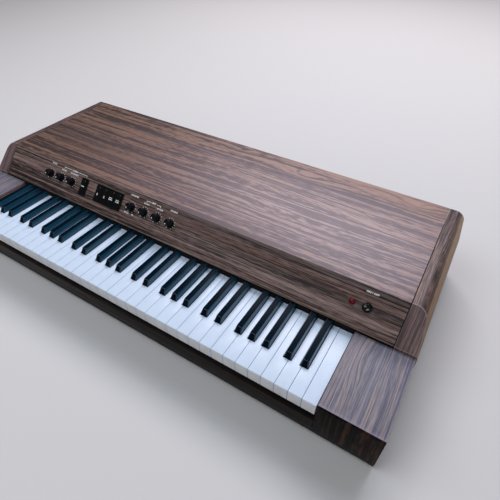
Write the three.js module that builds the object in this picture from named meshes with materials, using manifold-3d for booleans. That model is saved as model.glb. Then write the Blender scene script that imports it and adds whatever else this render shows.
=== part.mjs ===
// Electric piano with 61 keys in a wood-grained cabinet, built as separate pieces.
// Millimetres, X to the player's right, Y from the player to the back, Z up.
// The origin is on the floor under the middle.
import * as THREE from 'three';
import { mergeVertices } from 'three/addons/utils/BufferGeometryUtils.js';
import Module from 'manifold-3d';

const wasm = await Module();
wasm.setup();

// Cabinet
const topDepth = 293.6;
const keyTopHeight = 85;
const boardThickness = 12;
const footHeight = 8;
const fitGap = 0.3;
const overrun = 5;

// Flats on round pieces
const smallSides = 8;
const postSides = 10;
const roundSides = 16;
const footSides = 24;

// Sloped control panel
const panelFront = 153;
const panelRun = 51.4;
const panelRise = 56;
const panelClearance = 2.5;
const mitreGapShare = 0.7;

// Rounded ends of the cabinet
const shoulderRadius = 20;
const shoulderFlat = 12;
const sideSlant = Math.PI / 20;
const sideBreakHeight = 88;
const shoulderSteps = 7;

// Cheek blocks and key slip
const cheekWidth = 63.5;
const cheekRise = 9;
const cheekRound = 5;
const cheekRoundSteps = 4;
const cheekInset = 2;
const keyEndGap = 1.5;
const slipThickness = 13;
const slipClearance = 2;

// Bottom board, feet and rear wall
const bottomInset = 2;
const footRadius = 20;
const footTopRadius = 17;
const footSideInset = 75;
const footEndInset = 45;
const rearInset = 6;

// Keyboard
const whiteCount = 36;
const whitePitch = 23.5;
const keySetback = 3;
const whiteGap = 1;
const whiteLength = 152;
const whiteDepth = 12;
const lipDepth = 25;
const lipThickness = 3;
const blackFront = 50;
const blackFrontSlope = 6;
const blackBaseWidth = 13.7;
const blackTopWidth = 10;
const blackHeight = 11.5;
const blackShoulder = 1;
const blackDepth = 10;
const blackBodyLength = 127;
const blackSideGap = 1;
const outerBlackShift = 3.2;
const innerBlackShift = 3;

// Key tails, pivot and action
const pivotBack = 215;
const pivotDrop = 8.5;
const pivotRadius = 2.5;
const keyTravel = 10.1;
const tailWidth = 9;
const tailTop = 3;
const tailHeight = 11;
const tailStart = 140;
const tailEnd = 240;
const combFront = 166;
const combWidth = 8;
const whiteCombDrop = 18;
const blackCombLift = 4;
const combHeight = 4;
const bracketThickness = 2;
const bracketLength = 12;
const bracketTopDrop = 3.5;
const railFront = 205;
const railStep = 226;
const railBack = 245;
const railRelief = 2;
const frontRailFront = 14;
const frontRailBack = 34;
const stopClearance = 1.5;

// Felt strip between keys and panel
const feltFront = 149.5;
const feltDepth = 10;
const feltToothDepth = 3;
const feltKeyGap = 0.6;

// Key contact board
const contactFront = 90;
const contactBack = 150;
const contactBoardDrop = 27;
const contactStripFront = 112;
const contactStripWidth = 12;
const contactStripTop = 17.3;
const contactInset = 6;
const contactPostCount = 6;
const postRadius = 4;

// Knobs
const knobPitch = 35;
const effectKnobInset = 142;
const effectKnobCount = 3;
const toneKnobGap = 18.6;
const toneKnobCount = 4;
const controlLine = 41.5;
const knobRadius = 8.5;
const knobHeight = 14;
const knobFoot = 1;
const knobFlutes = 15;
const knobFluteDepth = 0.7;
const knobRimRadius = 9.4;
const knobRimHeight = 2;
const knobCrownRadius = 6.9;
const knobCrownHeight = 0.8;
const knobShaftRadius = 3;
const knobShaftDepth = 20;
const shaftClearance = 0.5;
const pointerRestAngle = THREE.MathUtils.degToRad(115);
const pointerReach = 5.8;
const pointerRadius = 0.9;
const pointerHeight = 0.5;

// Rocker switches
const rockerTilt = THREE.MathUtils.degToRad(7);
const rockerHalfLength = 16;
const rockerMidHeight = 4;
const rockerEndHeight = 5.2;
const rockerBellyDrop = 5;
const rockerEndDrop = 1;
const rockerEndTaper = 0.5;
const rockerWellGap = 1;
const rockerSideGap = 0.5;
const rockerPivotDrop = 0.5;
const bezelLength = 40;
const bezelThickness = 2;
const bezelCornerRadius = 2;
const bezelCornerSteps = 3;
const housingDepth = 20;
const housingWall = 1.5;
const wellDepth = 12;
const soloBezelGap = 19.6;
const soloBezelWidth = 20;
const soloRockerWidth = 14;
const toneBezelGap = 28;
const toneBezelWidth = 78;
const toneRockerWidth = 17.3;
const toneRockerPitch = 18.3;
const toneRockerCount = 4;

// Power button and lamp
const powerInset = 60;
const collarRadius = 8.5;
const collarHeight = 3.5;
const collarBarrelRadius = 7.4;
const collarBoreRadius = 6.6;
const collarDepth = 18;
const buttonRadius = 6.1;
const buttonProud = 5;
const buttonDish = 0.8;
const buttonStemRadius = 4;
const buttonDepth = 16;
const lampGap = 12;
const lensRadius = 5.5;
const lensProud = 3;
const lensBarrelRadius = 4.4;
const lensDepth = 14;
const lensSteps = 4;

// Potentiometer board behind the panel
const potRadius = 8;
const potDepth = 11;
const potBoreDepth = 9;
const circuitThickness = 1.6;
const potBoardMargin = 14;
const boardWindowGap = 5;

// Rear sockets
const plateGap = 24;
const plateLength = 150;
const plateHeight = 46;
const plateThickness = 1.5;
const plateRim = 8;
const socketLine = 85;
const jackCount = 3;
const jackPitch = 40;
const jackBoreRadius = 3.3;
const jackNutRadius = 6.5;
const jackNutHeight = 2.5;
const jackBodyWidth = 15;
const jackBodyDepth = 26;
const jackBoreDepth = 24;
const inletInset = 68;
const inletWidth = 34;
const inletHeight = 26;
const inletFlange = 4;
const inletFlangeThickness = 2;
const inletDepth = 24;
const inletRecess = 18;
const inletWall = 4;
const pinRadius = 1.8;
const pinSpread = 6;
const pinLength = 11;

// Electronics on the bottom board
const mainBoardGap = 68;
const mainBoardPlaceShare = 0.526;
const mainBoardLength = 360;
const mainBoardWidth = 150;
const standoffHeight = 10;
const standoffRadius = 4;
const standoffInset = 10;
const chipRows = 3;
const chipColumns = 5;
const chipLength = 36;
const chipWidth = 15;
const chipHeight = 5;
const transformerInset = 338;
const transformerPlaceShare = 0.612;
const coreLength = 80;
const coreWidth = 46;
const coreHeight = 66;
const bobbinLength = 50;
const bobbinWidth = 72;
const bobbinHeight = 46;
const tabLength = 104;
const tabHeight = 3;

// Sizes that follow
const panelLowHeight = keyTopHeight + blackHeight + panelClearance;
const topHeight = panelLowHeight + panelRise;
const slope = Math.atan2(panelRise, panelRun);
const panelLength = Math.hypot(panelRun, panelRise);
const crease = panelFront + panelRun;
const caseDepth = crease + topDepth;
const mitre = boardThickness / Math.tan((Math.PI - slope) / 2);
const mitreGap = mitreGapShare * fitGap;
const keyboardHalf = whiteCount * whitePitch / 2;
const cheekInner = keyboardHalf + keyEndGap;
const topHalfLength = cheekInner + cheekWidth;
const bottomTop = footHeight + boardThickness;
const standHeight = bottomTop + fitGap;
const shoulderX = topHalfLength + shoulderFlat;
const shoulderZ = topHeight - shoulderRadius;
const slantStartX = shoulderX + shoulderRadius * Math.cos(sideSlant);
const slantStartZ = shoulderZ + shoulderRadius * Math.sin(sideSlant);
const caseHalf = slantStartX + (slantStartZ - sideBreakHeight) * Math.tan(sideSlant);
const cheekOuter = caseHalf - cheekInset;
const sideFace = topHalfLength + fitGap;
const innerHalf = topHalfLength - fitGap;
const rearWallBack = caseDepth - rearInset;
const rearWallFront = rearWallBack - boardThickness;
const rearWallTop = topHeight - boardThickness - fitGap;
const shaftBore = pivotRadius + fitGap;
const keyboardFloor = standHeight - keyTopHeight;
const slipTop = keyTopHeight - lipDepth - keyTravel - slipClearance;
const railTop = -(tailTop + tailHeight);
const chamberFront = keySetback + railBack;
const chamberDepth = rearWallFront - chamberFront;
const mainBoardY = chamberFront + mainBoardPlaceShare * chamberDepth;
const transformerX = topHalfLength - transformerInset;
const transformerY = chamberFront + transformerPlaceShare * chamberDepth;
const mainBoardX = transformerX - tabLength / 2 - mainBoardGap - mainBoardLength / 2;
const inletX = topHalfLength - inletInset;
const plateX = inletX - inletWidth / 2 - inletFlange - plateGap - plateLength / 2;
const firstEffectKnob = effectKnobInset - topHalfLength;
const lastEffectKnob = firstEffectKnob + (effectKnobCount - 1) * knobPitch;
const soloBezelX = lastEffectKnob + knobRimRadius + soloBezelGap + soloBezelWidth / 2;
const toneBezelX = soloBezelX + soloBezelWidth / 2 + toneBezelGap + toneBezelWidth / 2;
const firstToneKnob = toneBezelX + toneBezelWidth / 2 + toneKnobGap + knobRimRadius;
const powerX = topHalfLength - powerInset;
const lampX = powerX - collarRadius - lampGap - lensRadius;

const finishes = {
  walnut: { color: 0x7b5a48, roughness: 0.45, metalness: 0 },
  walnutDark: { color: 0x5d4438, roughness: 0.42, metalness: 0 },
  blackBoard: { color: 0x1b1b1c, roughness: 0.8, metalness: 0 },
  ivory: { color: 0xdfe6f0, roughness: 0.2, metalness: 0 },
  ebony: { color: 0x0b0d10, roughness: 0.18, metalness: 0 },
  blackPlastic: { color: 0x101214, roughness: 0.4, metalness: 0 },
  rubber: { color: 0x141414, roughness: 0.9, metalness: 0 },
  felt: { color: 0x0c0c0d, roughness: 1, metalness: 0 },
  rail: { color: 0xa98d62, roughness: 0.7, metalness: 0 },
  steel: { color: 0xb9bcc0, roughness: 0.3, metalness: 1 },
  circuit: { color: 0x2f5a34, roughness: 0.5, metalness: 0 },
  lens: { color: 0x6e0a10, roughness: 0.15, metalness: 0 },
};

const axisTurns = {
  x: new THREE.Matrix4().makeBasis(vector(0, 1, 0), vector(0, 0, 1), vector(1, 0, 0)),
  y: new THREE.Matrix4().makeBasis(vector(1, 0, 0), vector(0, 0, 1), vector(0, -1, 0)),
  z: new THREE.Matrix4(),
};

function vector(x, y, z) {
  return new THREE.Vector3(x, y, z);
}

// A closed three.js geometry as a solid that can be joined and cut.
function solidOf(geometry) {
  const bare = geometry.clone();
  bare.deleteAttribute('normal');
  bare.deleteAttribute('uv');
  const merged = mergeVertices(bare);
  const mesh = new wasm.Mesh({
    numProp: 3,
    vertProperties: new Float32Array(merged.attributes.position.array),
    triVerts: new Uint32Array(merged.index.array),
  });
  return new wasm.Manifold(mesh);
}

// An outline of [a, b] points pushed along one axis between two places.
function prism(outline, axis, from, to) {
  const shape = new THREE.Shape(outline.map(([a, b]) => new THREE.Vector2(a, b)));
  const geometry = new THREE.ExtrudeGeometry(shape, { depth: to - from, bevelEnabled: false });
  geometry.translate(0, 0, axis === 'y' ? -to : from);
  geometry.applyMatrix4(axisTurns[axis]);
  return solidOf(geometry);
}

function block([x0, x1], [y0, y1], [z0, z1]) {
  return prism([[x0, y0], [x1, y0], [x1, y1], [x0, y1]], 'z', z0, z1);
}

// A round bar along Z, centred on x and y.
function rod(radius, from, to, sides, x = 0, y = 0) {
  const geometry = new THREE.CylinderGeometry(radius, radius, to - from, sides);
  geometry.rotateX(Math.PI / 2);
  geometry.translate(x, y, (from + to) / 2);
  return solidOf(geometry);
}

// A profile of [radius, height] points turned about the Z axis.
function turned(profile, sides) {
  const points = profile.map(([radius, height]) => new THREE.Vector2(radius, height));
  const geometry = new THREE.LatheGeometry(points, sides);
  geometry.rotateX(Math.PI / 2);
  return solidOf(geometry);
}

function arc(centreX, centreY, radius, start, end, steps) {
  return Array.from({ length: steps + 1 }, (_, step) => {
    const angle = start + (end - start) * step / steps;
    return [centreX + radius * Math.cos(angle), centreY + radius * Math.sin(angle)];
  });
}

function joined(solids) {
  return solids.reduce((whole, solid) => whole.add(solid));
}

function piece(name, solid, finish) {
  const { vertProperties, triVerts } = solid.getMesh();
  const geometry = new THREE.BufferGeometry();
  geometry.setAttribute('position', new THREE.BufferAttribute(new Float32Array(vertProperties), 3));
  geometry.setIndex(new THREE.BufferAttribute(new Uint32Array(triVerts), 1));
  geometry.computeVertexNormals();
  const mesh = new THREE.Mesh(geometry, new THREE.MeshStandardMaterial(finishes[finish]));
  mesh.name = name;
  return mesh;
}

function mirrored(solid) {
  return solid.mirror([1, 0, 0]);
}

// Cabinet pieces, Y from the front of the cheek blocks and Z from the floor.
function bottomBoard() {
  const half = caseHalf - bottomInset;
  return block([-half, half], [bottomInset, caseDepth - bottomInset], [footHeight, bottomTop]);
}

function topCover() {
  const front = crease + mitreGap;
  const underside = topHeight - boardThickness;
  const outline = [[front, topHeight], [front + mitre, underside], [caseDepth, underside],
    [caseDepth, topHeight]];
  return prism(outline, 'x', -innerHalf, innerHalf);
}

function endCap() {
  const shoulder = arc(shoulderX, shoulderZ, shoulderRadius, sideSlant, Math.PI / 2, shoulderSteps);
  const profile = [[sideFace, standHeight], [caseHalf, standHeight], [caseHalf, sideBreakHeight],
    ...shoulder, [sideFace, topHeight]];
  const whole = prism(profile, 'y', panelFront, caseDepth);
  const wedge = [[panelFront - overrun, panelLowHeight - overrun * Math.tan(slope)],
    [crease + overrun, topHeight + overrun * Math.tan(slope)],
    [panelFront - overrun, topHeight + overrun * Math.tan(slope)]];
  return whole.subtract(prism(wedge, 'x', 0, caseHalf + overrun));
}

function cheekBlock() {
  const top = keyTopHeight + cheekRise;
  const round = arc(cheekRound, top - cheekRound, cheekRound, Math.PI / 2, Math.PI, cheekRoundSteps);
  const back = panelFront - fitGap;
  const outline = [[0, standHeight], [back, standHeight], [back, top], ...round];
  return prism(outline, 'x', cheekInner, cheekOuter);
}

function keySlip() {
  const half = cheekInner - fitGap;
  return block([-half, half], [0, slipThickness], [standHeight, slipTop]);
}

function foot() {
  const top = footHeight - fitGap;
  const profile = [[0, 0], [footTopRadius, 0], [footRadius, top / 2], [footRadius, top], [0, top]];
  return turned(profile, footSides);
}

function rearPanel() {
  const wall = block([-innerHalf, innerHalf], [rearWallFront, rearWallBack], [standHeight, rearWallTop]);
  const plateHole = block(
    [plateX - plateLength / 2 + plateRim, plateX + plateLength / 2 - plateRim],
    [rearWallFront - overrun, rearWallBack + overrun],
    [socketLine - plateHeight / 2 + plateRim, socketLine + plateHeight / 2 - plateRim],
  );
  const inletHole = block(
    [inletX - inletWidth / 2 - fitGap, inletX + inletWidth / 2 + fitGap],
    [rearWallFront - overrun, rearWallBack + overrun],
    [socketLine - inletHeight / 2 - fitGap, socketLine + inletHeight / 2 + fitGap],
  );
  return wall.subtract(plateHole).subtract(inletHole);
}

// A round bar along Y at a socket, between two places.
function socketRod(radius, x, from, to, sides) {
  return rod(radius, -to, -from, sides).rotate([90, 0, 0]).translate([x, 0, socketLine]);
}

function jackPlate() {
  const face = rearWallBack + fitGap;
  const outside = face + plateThickness;
  const plate = block([plateX - plateLength / 2, plateX + plateLength / 2], [face, outside],
    [socketLine - plateHeight / 2, socketLine + plateHeight / 2]);
  const nutBack = outside + jackNutHeight;
  let whole = plate;
  for (let index = 0; index < jackCount; index += 1) {
    const x = plateX + (index - (jackCount - 1) / 2) * jackPitch;
    const body = block([x - jackBodyWidth / 2, x + jackBodyWidth / 2], [outside - jackBodyDepth, outside],
      [socketLine - jackBodyWidth / 2, socketLine + jackBodyWidth / 2]);
    const nut = socketRod(jackNutRadius, x, face, nutBack, roundSides);
    const bore = socketRod(jackBoreRadius, x, nutBack - jackBoreDepth, nutBack + overrun, smallSides);
    whole = joined([whole, body, nut]).subtract(bore);
  }
  return whole;
}

function powerInlet() {
  const face = rearWallBack + fitGap;
  const outside = face + inletFlangeThickness;
  const spread = inletWidth / 2;
  const rise = inletHeight / 2;
  const flange = block([inletX - spread - inletFlange, inletX + spread + inletFlange], [face, outside],
    [socketLine - rise - inletFlange, socketLine + rise + inletFlange]);
  const body = block([inletX - spread, inletX + spread], [outside - inletDepth, outside],
    [socketLine - rise, socketLine + rise]);
  const recess = block([inletX - spread + inletWall, inletX + spread - inletWall],
    [outside - inletRecess, outside + overrun],
    [socketLine - rise + inletWall, socketLine + rise - inletWall]);
  const floor = outside - inletRecess;
  const pins = [-pinSpread, pinSpread].map((shift) => (
    socketRod(pinRadius, inletX + shift, floor - inletWall / 2, floor + pinLength, smallSides)));
  return joined([flange.add(body).subtract(recess), ...pins]);
}

function mainCircuitBoard() {
  const halfLength = mainBoardLength / 2;
  const halfWidth = mainBoardWidth / 2;
  const base = standHeight + standoffHeight;
  const top = base + circuitThickness;
  const board = block([-halfLength, halfLength], [-halfWidth, halfWidth], [base, top]);
  const middle = base + circuitThickness / 2;
  const posts = [];
  for (const x of [standoffInset - halfLength, halfLength - standoffInset]) {
    for (const y of [standoffInset - halfWidth, halfWidth - standoffInset]) {
      posts.push(rod(standoffRadius, standHeight, middle, postSides, x, y));
    }
  }
  const chips = [];
  for (let row = 0; row < chipRows; row += 1) {
    for (let column = 0; column < chipColumns; column += 1) {
      const x = ((column + 0.5) / chipColumns - 0.5) * (mainBoardLength - chipLength);
      const y = ((row + 0.5) / chipRows - 0.5) * (mainBoardWidth - chipWidth);
      chips.push(block([x - chipLength / 2, x + chipLength / 2], [y - chipWidth / 2, y + chipWidth / 2],
        [middle, top + chipHeight]));
    }
  }
  return joined([board, ...posts, ...chips]).translate([mainBoardX, mainBoardY, 0]);
}

function transformer() {
  const core = block([-coreLength / 2, coreLength / 2], [-coreWidth / 2, coreWidth / 2], [0, coreHeight]);
  const bobbinBase = (coreHeight - bobbinHeight) / 2;
  const bobbin = block([-bobbinLength / 2, bobbinLength / 2], [-bobbinWidth / 2, bobbinWidth / 2],
    [bobbinBase, bobbinBase + bobbinHeight]);
  const tabs = block([-tabLength / 2, tabLength / 2], [-coreWidth / 2, coreWidth / 2], [0, tabHeight]);
  return joined([core, bobbin, tabs]).translate([transformerX, transformerY, standHeight]);
}

// Keyboard pieces, Y from the white keys' fronts and Z from their tops.
const whiteLetters = ['f', 'g', 'a', 'b', 'c', 'd', 'e'];
const blackShifts = {
  f: -outerBlackShift,
  g: 0,
  a: outerBlackShift,
  c: -innerBlackShift,
  d: innerBlackShift,
};
const whitesPerOctave = whiteLetters.length;
const whitesFromC = whitesPerOctave - whiteLetters.indexOf('c');
const blackSlotHalf = blackBaseWidth / 2 + blackSideGap;

function letterOf(white) {
  return whiteLetters[white % whitesPerOctave];
}

function octaveOf(white) {
  return 1 + Math.floor((white + whitesFromC) / whitesPerOctave);
}

// The black key that follows a white key, as its centre, or null where there is none.
function blackAfter(white) {
  const shift = blackShifts[letterOf(white)];
  const missing = shift === undefined || white < 0 || white >= whiteCount - 1;
  return missing ? null : (white + 1) * whitePitch - keyboardHalf + shift;
}

function whiteEdges(white) {
  const left = white * whitePitch - keyboardHalf + whiteGap / 2;
  const right = left + whitePitch - whiteGap;
  const before = white > 0 ? blackAfter(white - 1) : null;
  const after = blackAfter(white);
  const innerLeft = before === null ? left : before + blackSlotHalf;
  const innerRight = after === null ? right : after - blackSlotHalf;
  return { left, right, innerLeft, innerRight };
}

function whiteTailCentre(white) {
  const { innerLeft, innerRight } = whiteEdges(white);
  return (innerLeft + innerRight) / 2;
}

function pivotRod(radius, from, to, sides) {
  const lastAngle = 2 * Math.PI * (1 - 1 / sides);
  return prism(arc(pivotBack, -pivotDrop, radius, 0, lastAngle, sides - 1), 'x', from, to);
}

function tail(centre) {
  const half = tailWidth / 2;
  const bar = block([centre - half, centre + half], [tailStart, tailEnd], [railTop, -tailTop]);
  return bar.subtract(pivotRod(shaftBore, centre - tailWidth, centre + tailWidth, smallSides));
}

function whiteKey(white) {
  const { left, right, innerLeft, innerRight } = whiteEdges(white);
  const notch = blackFront - blackSideGap;
  const outline = [[left, 0], [right, 0], [right, notch], [innerRight, notch], [innerRight, whiteLength],
    [innerLeft, whiteLength], [innerLeft, notch], [left, notch]];
  const plain = outline.filter(([x, y], index) => {
    const [nextX, nextY] = outline[(index + 1) % outline.length];
    return x !== nextX || y !== nextY;
  });
  const cap = prism(plain, 'z', -whiteDepth, 0);
  const lip = block([left, right], [0, lipThickness], [-lipDepth, 0]);
  return joined([cap, lip, tail(whiteTailCentre(white))]);
}

function blackKey(white) {
  const centre = blackAfter(white);
  const base = blackBaseWidth / 2;
  const top = blackTopWidth / 2;
  const section = [[centre - base, -blackDepth], [centre + base, -blackDepth],
    [centre + base, blackShoulder], [centre + top, blackHeight],
    [centre - top, blackHeight], [centre - base, blackShoulder]];
  const body = prism(section, 'y', blackFront, blackFront + blackBodyLength);
  const lean = blackFrontSlope / (blackHeight - blackShoulder);
  const above = blackHeight + overrun;
  const wedge = [[blackFront, blackShoulder], [blackFront + blackFrontSlope + overrun * lean, above],
    [blackFront - overrun, above], [blackFront - overrun, blackShoulder]];
  const front = prism(wedge, 'x', centre - blackBaseWidth, centre + blackBaseWidth);
  return body.subtract(front).add(tail(centre));
}

// A thin bar that ties the tails of one octave's keys together.
function combBar(first, last, heights) {
  const ends = [first - tailWidth / 2, last + tailWidth / 2];
  return block(ends, [combFront, combFront + combWidth], heights);
}

function whiteComb(first, last) {
  const whites = Array.from({ length: last - first + 1 }, (_, index) => first + index);
  const centres = whites.map(whiteTailCentre);
  const low = -whiteCombDrop - combHeight;
  const posts = centres.map((centre) => combBar(centre, centre, [low, railTop + tailHeight / 2]));
  const bar = combBar(centres[0], centres.at(-1), [low, -whiteCombDrop]);
  return joined([...whites.map(whiteKey), ...posts, bar]);
}

function blackComb(first, last) {
  const blacks = Array.from({ length: last - first + 1 }, (_, index) => first + index)
    .filter((white) => blackAfter(white) !== null);
  const centres = blacks.map(blackAfter);
  const bar = combBar(centres[0], centres.at(-1), [blackCombLift, blackCombLift + combHeight]);
  return joined([...blacks.map(blackKey), bar]);
}

function pivotRail() {
  const end = keyboardHalf + bracketThickness;
  const outline = [[railFront, keyboardFloor], [railBack, keyboardFloor], [railBack, railTop - fitGap],
    [railStep, railTop - fitGap], [railStep, railTop - railRelief], [railFront, railTop - railRelief]];
  const rail = prism(outline, 'x', -end, end);
  const octaveStarts = Array.from({ length: whiteCount }, (_, white) => white)
    .filter((white) => letterOf(white) === 'f');
  const brackets = [...octaveStarts, whiteCount].map((white) => {
    const x = white * whitePitch - keyboardHalf;
    const plate = block([x - bracketThickness / 2, x + bracketThickness / 2],
      [pivotBack - bracketLength / 2, pivotBack + bracketLength / 2],
      [railTop - 2 * railRelief, -bracketTopDrop]);
    return plate.subtract(pivotRod(shaftBore, x - bracketThickness, x + bracketThickness, smallSides));
  });
  return joined([rail, ...brackets]);
}

function pivotShaft() {
  const end = keyboardHalf + bracketThickness;
  return pivotRod(pivotRadius, -end, end, smallSides);
}

function frontRail() {
  const reach = pivotBack - frontRailFront;
  const dip = reach * keyTravel / pivotBack;
  const top = -whiteDepth - dip - stopClearance;
  return block([-keyboardHalf, keyboardHalf], [frontRailFront, frontRailBack], [keyboardFloor, top]);
}

function nameboardFelt() {
  const low = blackHeight + feltKeyGap;
  const high = blackHeight + panelClearance - fitGap;
  const strip = block([-innerHalf, innerHalf], [feltFront, feltFront + feltDepth], [low, high]);
  const walls = [-cheekInner];
  for (let white = 0; white < whiteCount - 1; white += 1) {
    const centre = blackAfter(white);
    if (centre !== null) {
      walls.push(centre - blackSlotHalf, centre + blackSlotHalf);
    }
  }
  walls.push(cheekInner);
  const teeth = [];
  for (let index = 0; index < walls.length; index += 2) {
    const span = [walls[index], walls[index + 1]];
    teeth.push(block(span, [feltFront, feltFront + feltToothDepth], [feltKeyGap, high]));
  }
  const ends = [[-innerHalf, -cheekInner], [cheekInner, innerHalf]].map((span) => (
    block(span, [feltFront + feltKeyGap, feltFront + feltDepth], [cheekRise + fitGap, high])));
  return joined([strip, ...teeth, ...ends]);
}

function contactBoard() {
  const half = keyboardHalf - contactInset;
  const top = circuitThickness - contactBoardDrop;
  const board = block([-half, half], [contactFront, contactBack], [-contactBoardDrop, top]);
  const strip = block([-half, half], [contactStripFront, contactStripFront + contactStripWidth],
    [-contactBoardDrop + circuitThickness / 2, -contactStripTop]);
  const posts = Array.from({ length: contactPostCount }, (_, index) => {
    const x = ((index + 0.5) / contactPostCount - 0.5) * 2 * half;
    return rod(postRadius, keyboardFloor, circuitThickness / 2 - contactBoardDrop, postSides, x,
      (contactFront + contactBack) / 2);
  });
  return joined([board, strip, ...posts]);
}

// Panel pieces, Y up the slope from its lower edge and Z out of its face.
const knobPlaces = [
  ...Array.from({ length: effectKnobCount }, (_, index) => firstEffectKnob + index * knobPitch),
  ...Array.from({ length: toneKnobCount }, (_, index) => firstToneKnob + index * knobPitch),
];
const knobNames = ['decay_knob', 'tremolo_speed_knob', 'tremolo_depth_knob', 'pitch_knob', 'bass_knob',
  'treble_knob', 'volume_knob'];
const toneRockerPlaces = Array.from({ length: toneRockerCount }, (_, index) => (
  (index - (toneRockerCount - 1) / 2) * toneRockerPitch));
const wellHalfLength = rockerHalfLength + rockerWellGap;

function housingWidth(places, width) {
  return places.at(-1) - places[0] + width + 2 * (rockerSideGap + housingWall);
}

const soloHousingWidth = housingWidth([0], soloRockerWidth);
const toneHousingWidth = housingWidth(toneRockerPlaces, toneRockerWidth);

function panelWindow(x, width) {
  const half = width / 2 + fitGap;
  const reach = wellHalfLength + housingWall + fitGap;
  const depth = [-boardThickness - overrun, overrun];
  return block([x - half, x + half], [controlLine - reach, controlLine + reach], depth);
}

function panelHole(x, radius) {
  return rod(radius, -boardThickness - overrun, overrun, roundSides, x, controlLine);
}

function controlPanel() {
  const end = panelLength - mitreGap;
  const outline = [[0, 0], [boardThickness / Math.tan(slope), -boardThickness],
    [end - mitre, -boardThickness], [end, 0]];
  const holes = [
    ...knobPlaces.map((x) => panelHole(x, knobShaftRadius + shaftClearance)),
    panelHole(powerX, collarBarrelRadius + fitGap),
    panelHole(lampX, lensBarrelRadius + fitGap),
    panelWindow(soloBezelX, soloHousingWidth),
    panelWindow(toneBezelX, toneHousingWidth),
  ];
  return prism(outline, 'x', -innerHalf, innerHalf).subtract(joined(holes));
}

function knob() {
  const flutes = Array.from({ length: knobFlutes * 2 }, (_, index) => {
    const angle = Math.PI * index / knobFlutes;
    const radius = index % 2 ? knobRadius - knobFluteDepth : knobRadius;
    return [radius * Math.cos(angle), radius * Math.sin(angle)];
  });
  const crown = knobHeight - knobCrownHeight;
  const grip = prism(flutes, 'z', knobFoot, crown);
  const rim = rod(knobRimRadius, knobFoot, knobFoot + knobRimHeight, roundSides);
  const cap = rod(knobCrownRadius, crown - knobCrownHeight, knobHeight, roundSides);
  const shaft = rod(knobShaftRadius, -knobShaftDepth, knobFoot + knobRimHeight, smallSides);
  const mark = rod(pointerRadius, knobHeight - pointerHeight, knobHeight + pointerHeight, smallSides,
    -pointerReach * Math.sin(pointerRestAngle), pointerReach * Math.cos(pointerRestAngle));
  return joined([grip, rim, cap, shaft, mark]);
}

function rocker(width) {
  const low = rockerHalfLength - rockerEndTaper;
  const outline = [[-rockerHalfLength, rockerEndHeight], [-low, -rockerEndDrop], [0, -rockerBellyDrop],
    [low, -rockerEndDrop], [rockerHalfLength, rockerEndHeight], [0, rockerMidHeight]];
  return prism(outline, 'x', -width / 2, width / 2);
}

function roundedPlate(width, length, from, to) {
  const x = width / 2 - bezelCornerRadius;
  const y = length / 2 - bezelCornerRadius;
  const quarter = Math.PI / 2;
  const corners = [[x, y], [-x, y], [-x, -y], [x, -y]];
  const outline = corners.flatMap(([cornerX, cornerY], turn) => (
    arc(cornerX, cornerY, bezelCornerRadius, turn * quarter, (turn + 1) * quarter, bezelCornerSteps)));
  return prism(outline, 'z', from, to);
}

function rockerBezel(flangeWidth, houseWidth, places, width) {
  const flange = roundedPlate(flangeWidth, bezelLength, fitGap, fitGap + bezelThickness);
  const reach = wellHalfLength + housingWall;
  const house = block([-houseWidth / 2, houseWidth / 2], [-reach, reach],
    [-housingDepth, fitGap + bezelThickness]);
  const wells = places.map((place) => block(
    [place - width / 2 - rockerSideGap, place + width / 2 + rockerSideGap],
    [-wellHalfLength, wellHalfLength],
    [-wellDepth, bezelThickness + overrun],
  ));
  return wells.reduce((whole, well) => whole.subtract(well), flange.add(house));
}

function powerCollar() {
  const low = fitGap;
  const high = fitGap + collarHeight;
  const profile = [[collarBoreRadius, -collarDepth], [collarBarrelRadius, -collarDepth],
    [collarBarrelRadius, low], [collarRadius, low],
    [collarRadius, high - (collarRadius - collarBarrelRadius) / 2],
    [collarBarrelRadius, high], [collarBoreRadius, high], [collarBoreRadius, -collarDepth]];
  return turned(profile, roundSides);
}

function powerButton() {
  const top = fitGap + buttonProud;
  const profile = [[0, -buttonDepth], [buttonStemRadius, -buttonDepth], [buttonStemRadius, -boardThickness],
    [buttonRadius, -boardThickness], [buttonRadius, top - buttonDish], [buttonRadius - buttonDish, top],
    [buttonStemRadius, top - buttonDish / 2], [0, top - buttonDish]];
  return turned(profile, roundSides);
}

function lampLens() {
  const low = fitGap;
  const dome = arc(0, 0, 1, 0, Math.PI / 2, lensSteps)
    .map(([across, up]) => [across * lensRadius, low + up * lensProud]);
  const profile = [[0, -lensDepth], [lensBarrelRadius, -lensDepth], [lensBarrelRadius, low],
    ...dome.slice(0, -1), [0, low + lensProud]];
  return turned(profile, roundSides);
}

function controlBoard() {
  const face = -boardThickness - fitGap;
  const base = face - potDepth;
  const bore = knobShaftRadius + shaftClearance;
  const pots = knobPlaces.map((x) => rod(potRadius, base, face, roundSides, x, controlLine)
    .subtract(rod(bore, face - potBoreDepth, face + overrun, roundSides, x, controlLine)));
  const start = knobPlaces[0] - potBoardMargin;
  const end = knobPlaces.at(-1) + potBoardMargin;
  const edges = [controlLine - potBoardMargin, controlLine + potBoardMargin];
  const board = block([start, end], edges, [base - circuitThickness, base + circuitThickness / 2]);
  const housings = [[soloBezelX, soloHousingWidth], [toneBezelX, toneHousingWidth]];
  const windows = housings.map(([x, width]) => block(
    [x - width / 2 - boardWindowGap, x + width / 2 + boardWindowGap],
    [controlLine - potRadius, controlLine + potBoardMargin + overrun],
    [base - overrun, face + overrun],
  ));
  return joined([board, ...pots]).subtract(joined(windows));
}

const instrument = new THREE.Group();
instrument.position.y = -caseDepth / 2;

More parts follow.
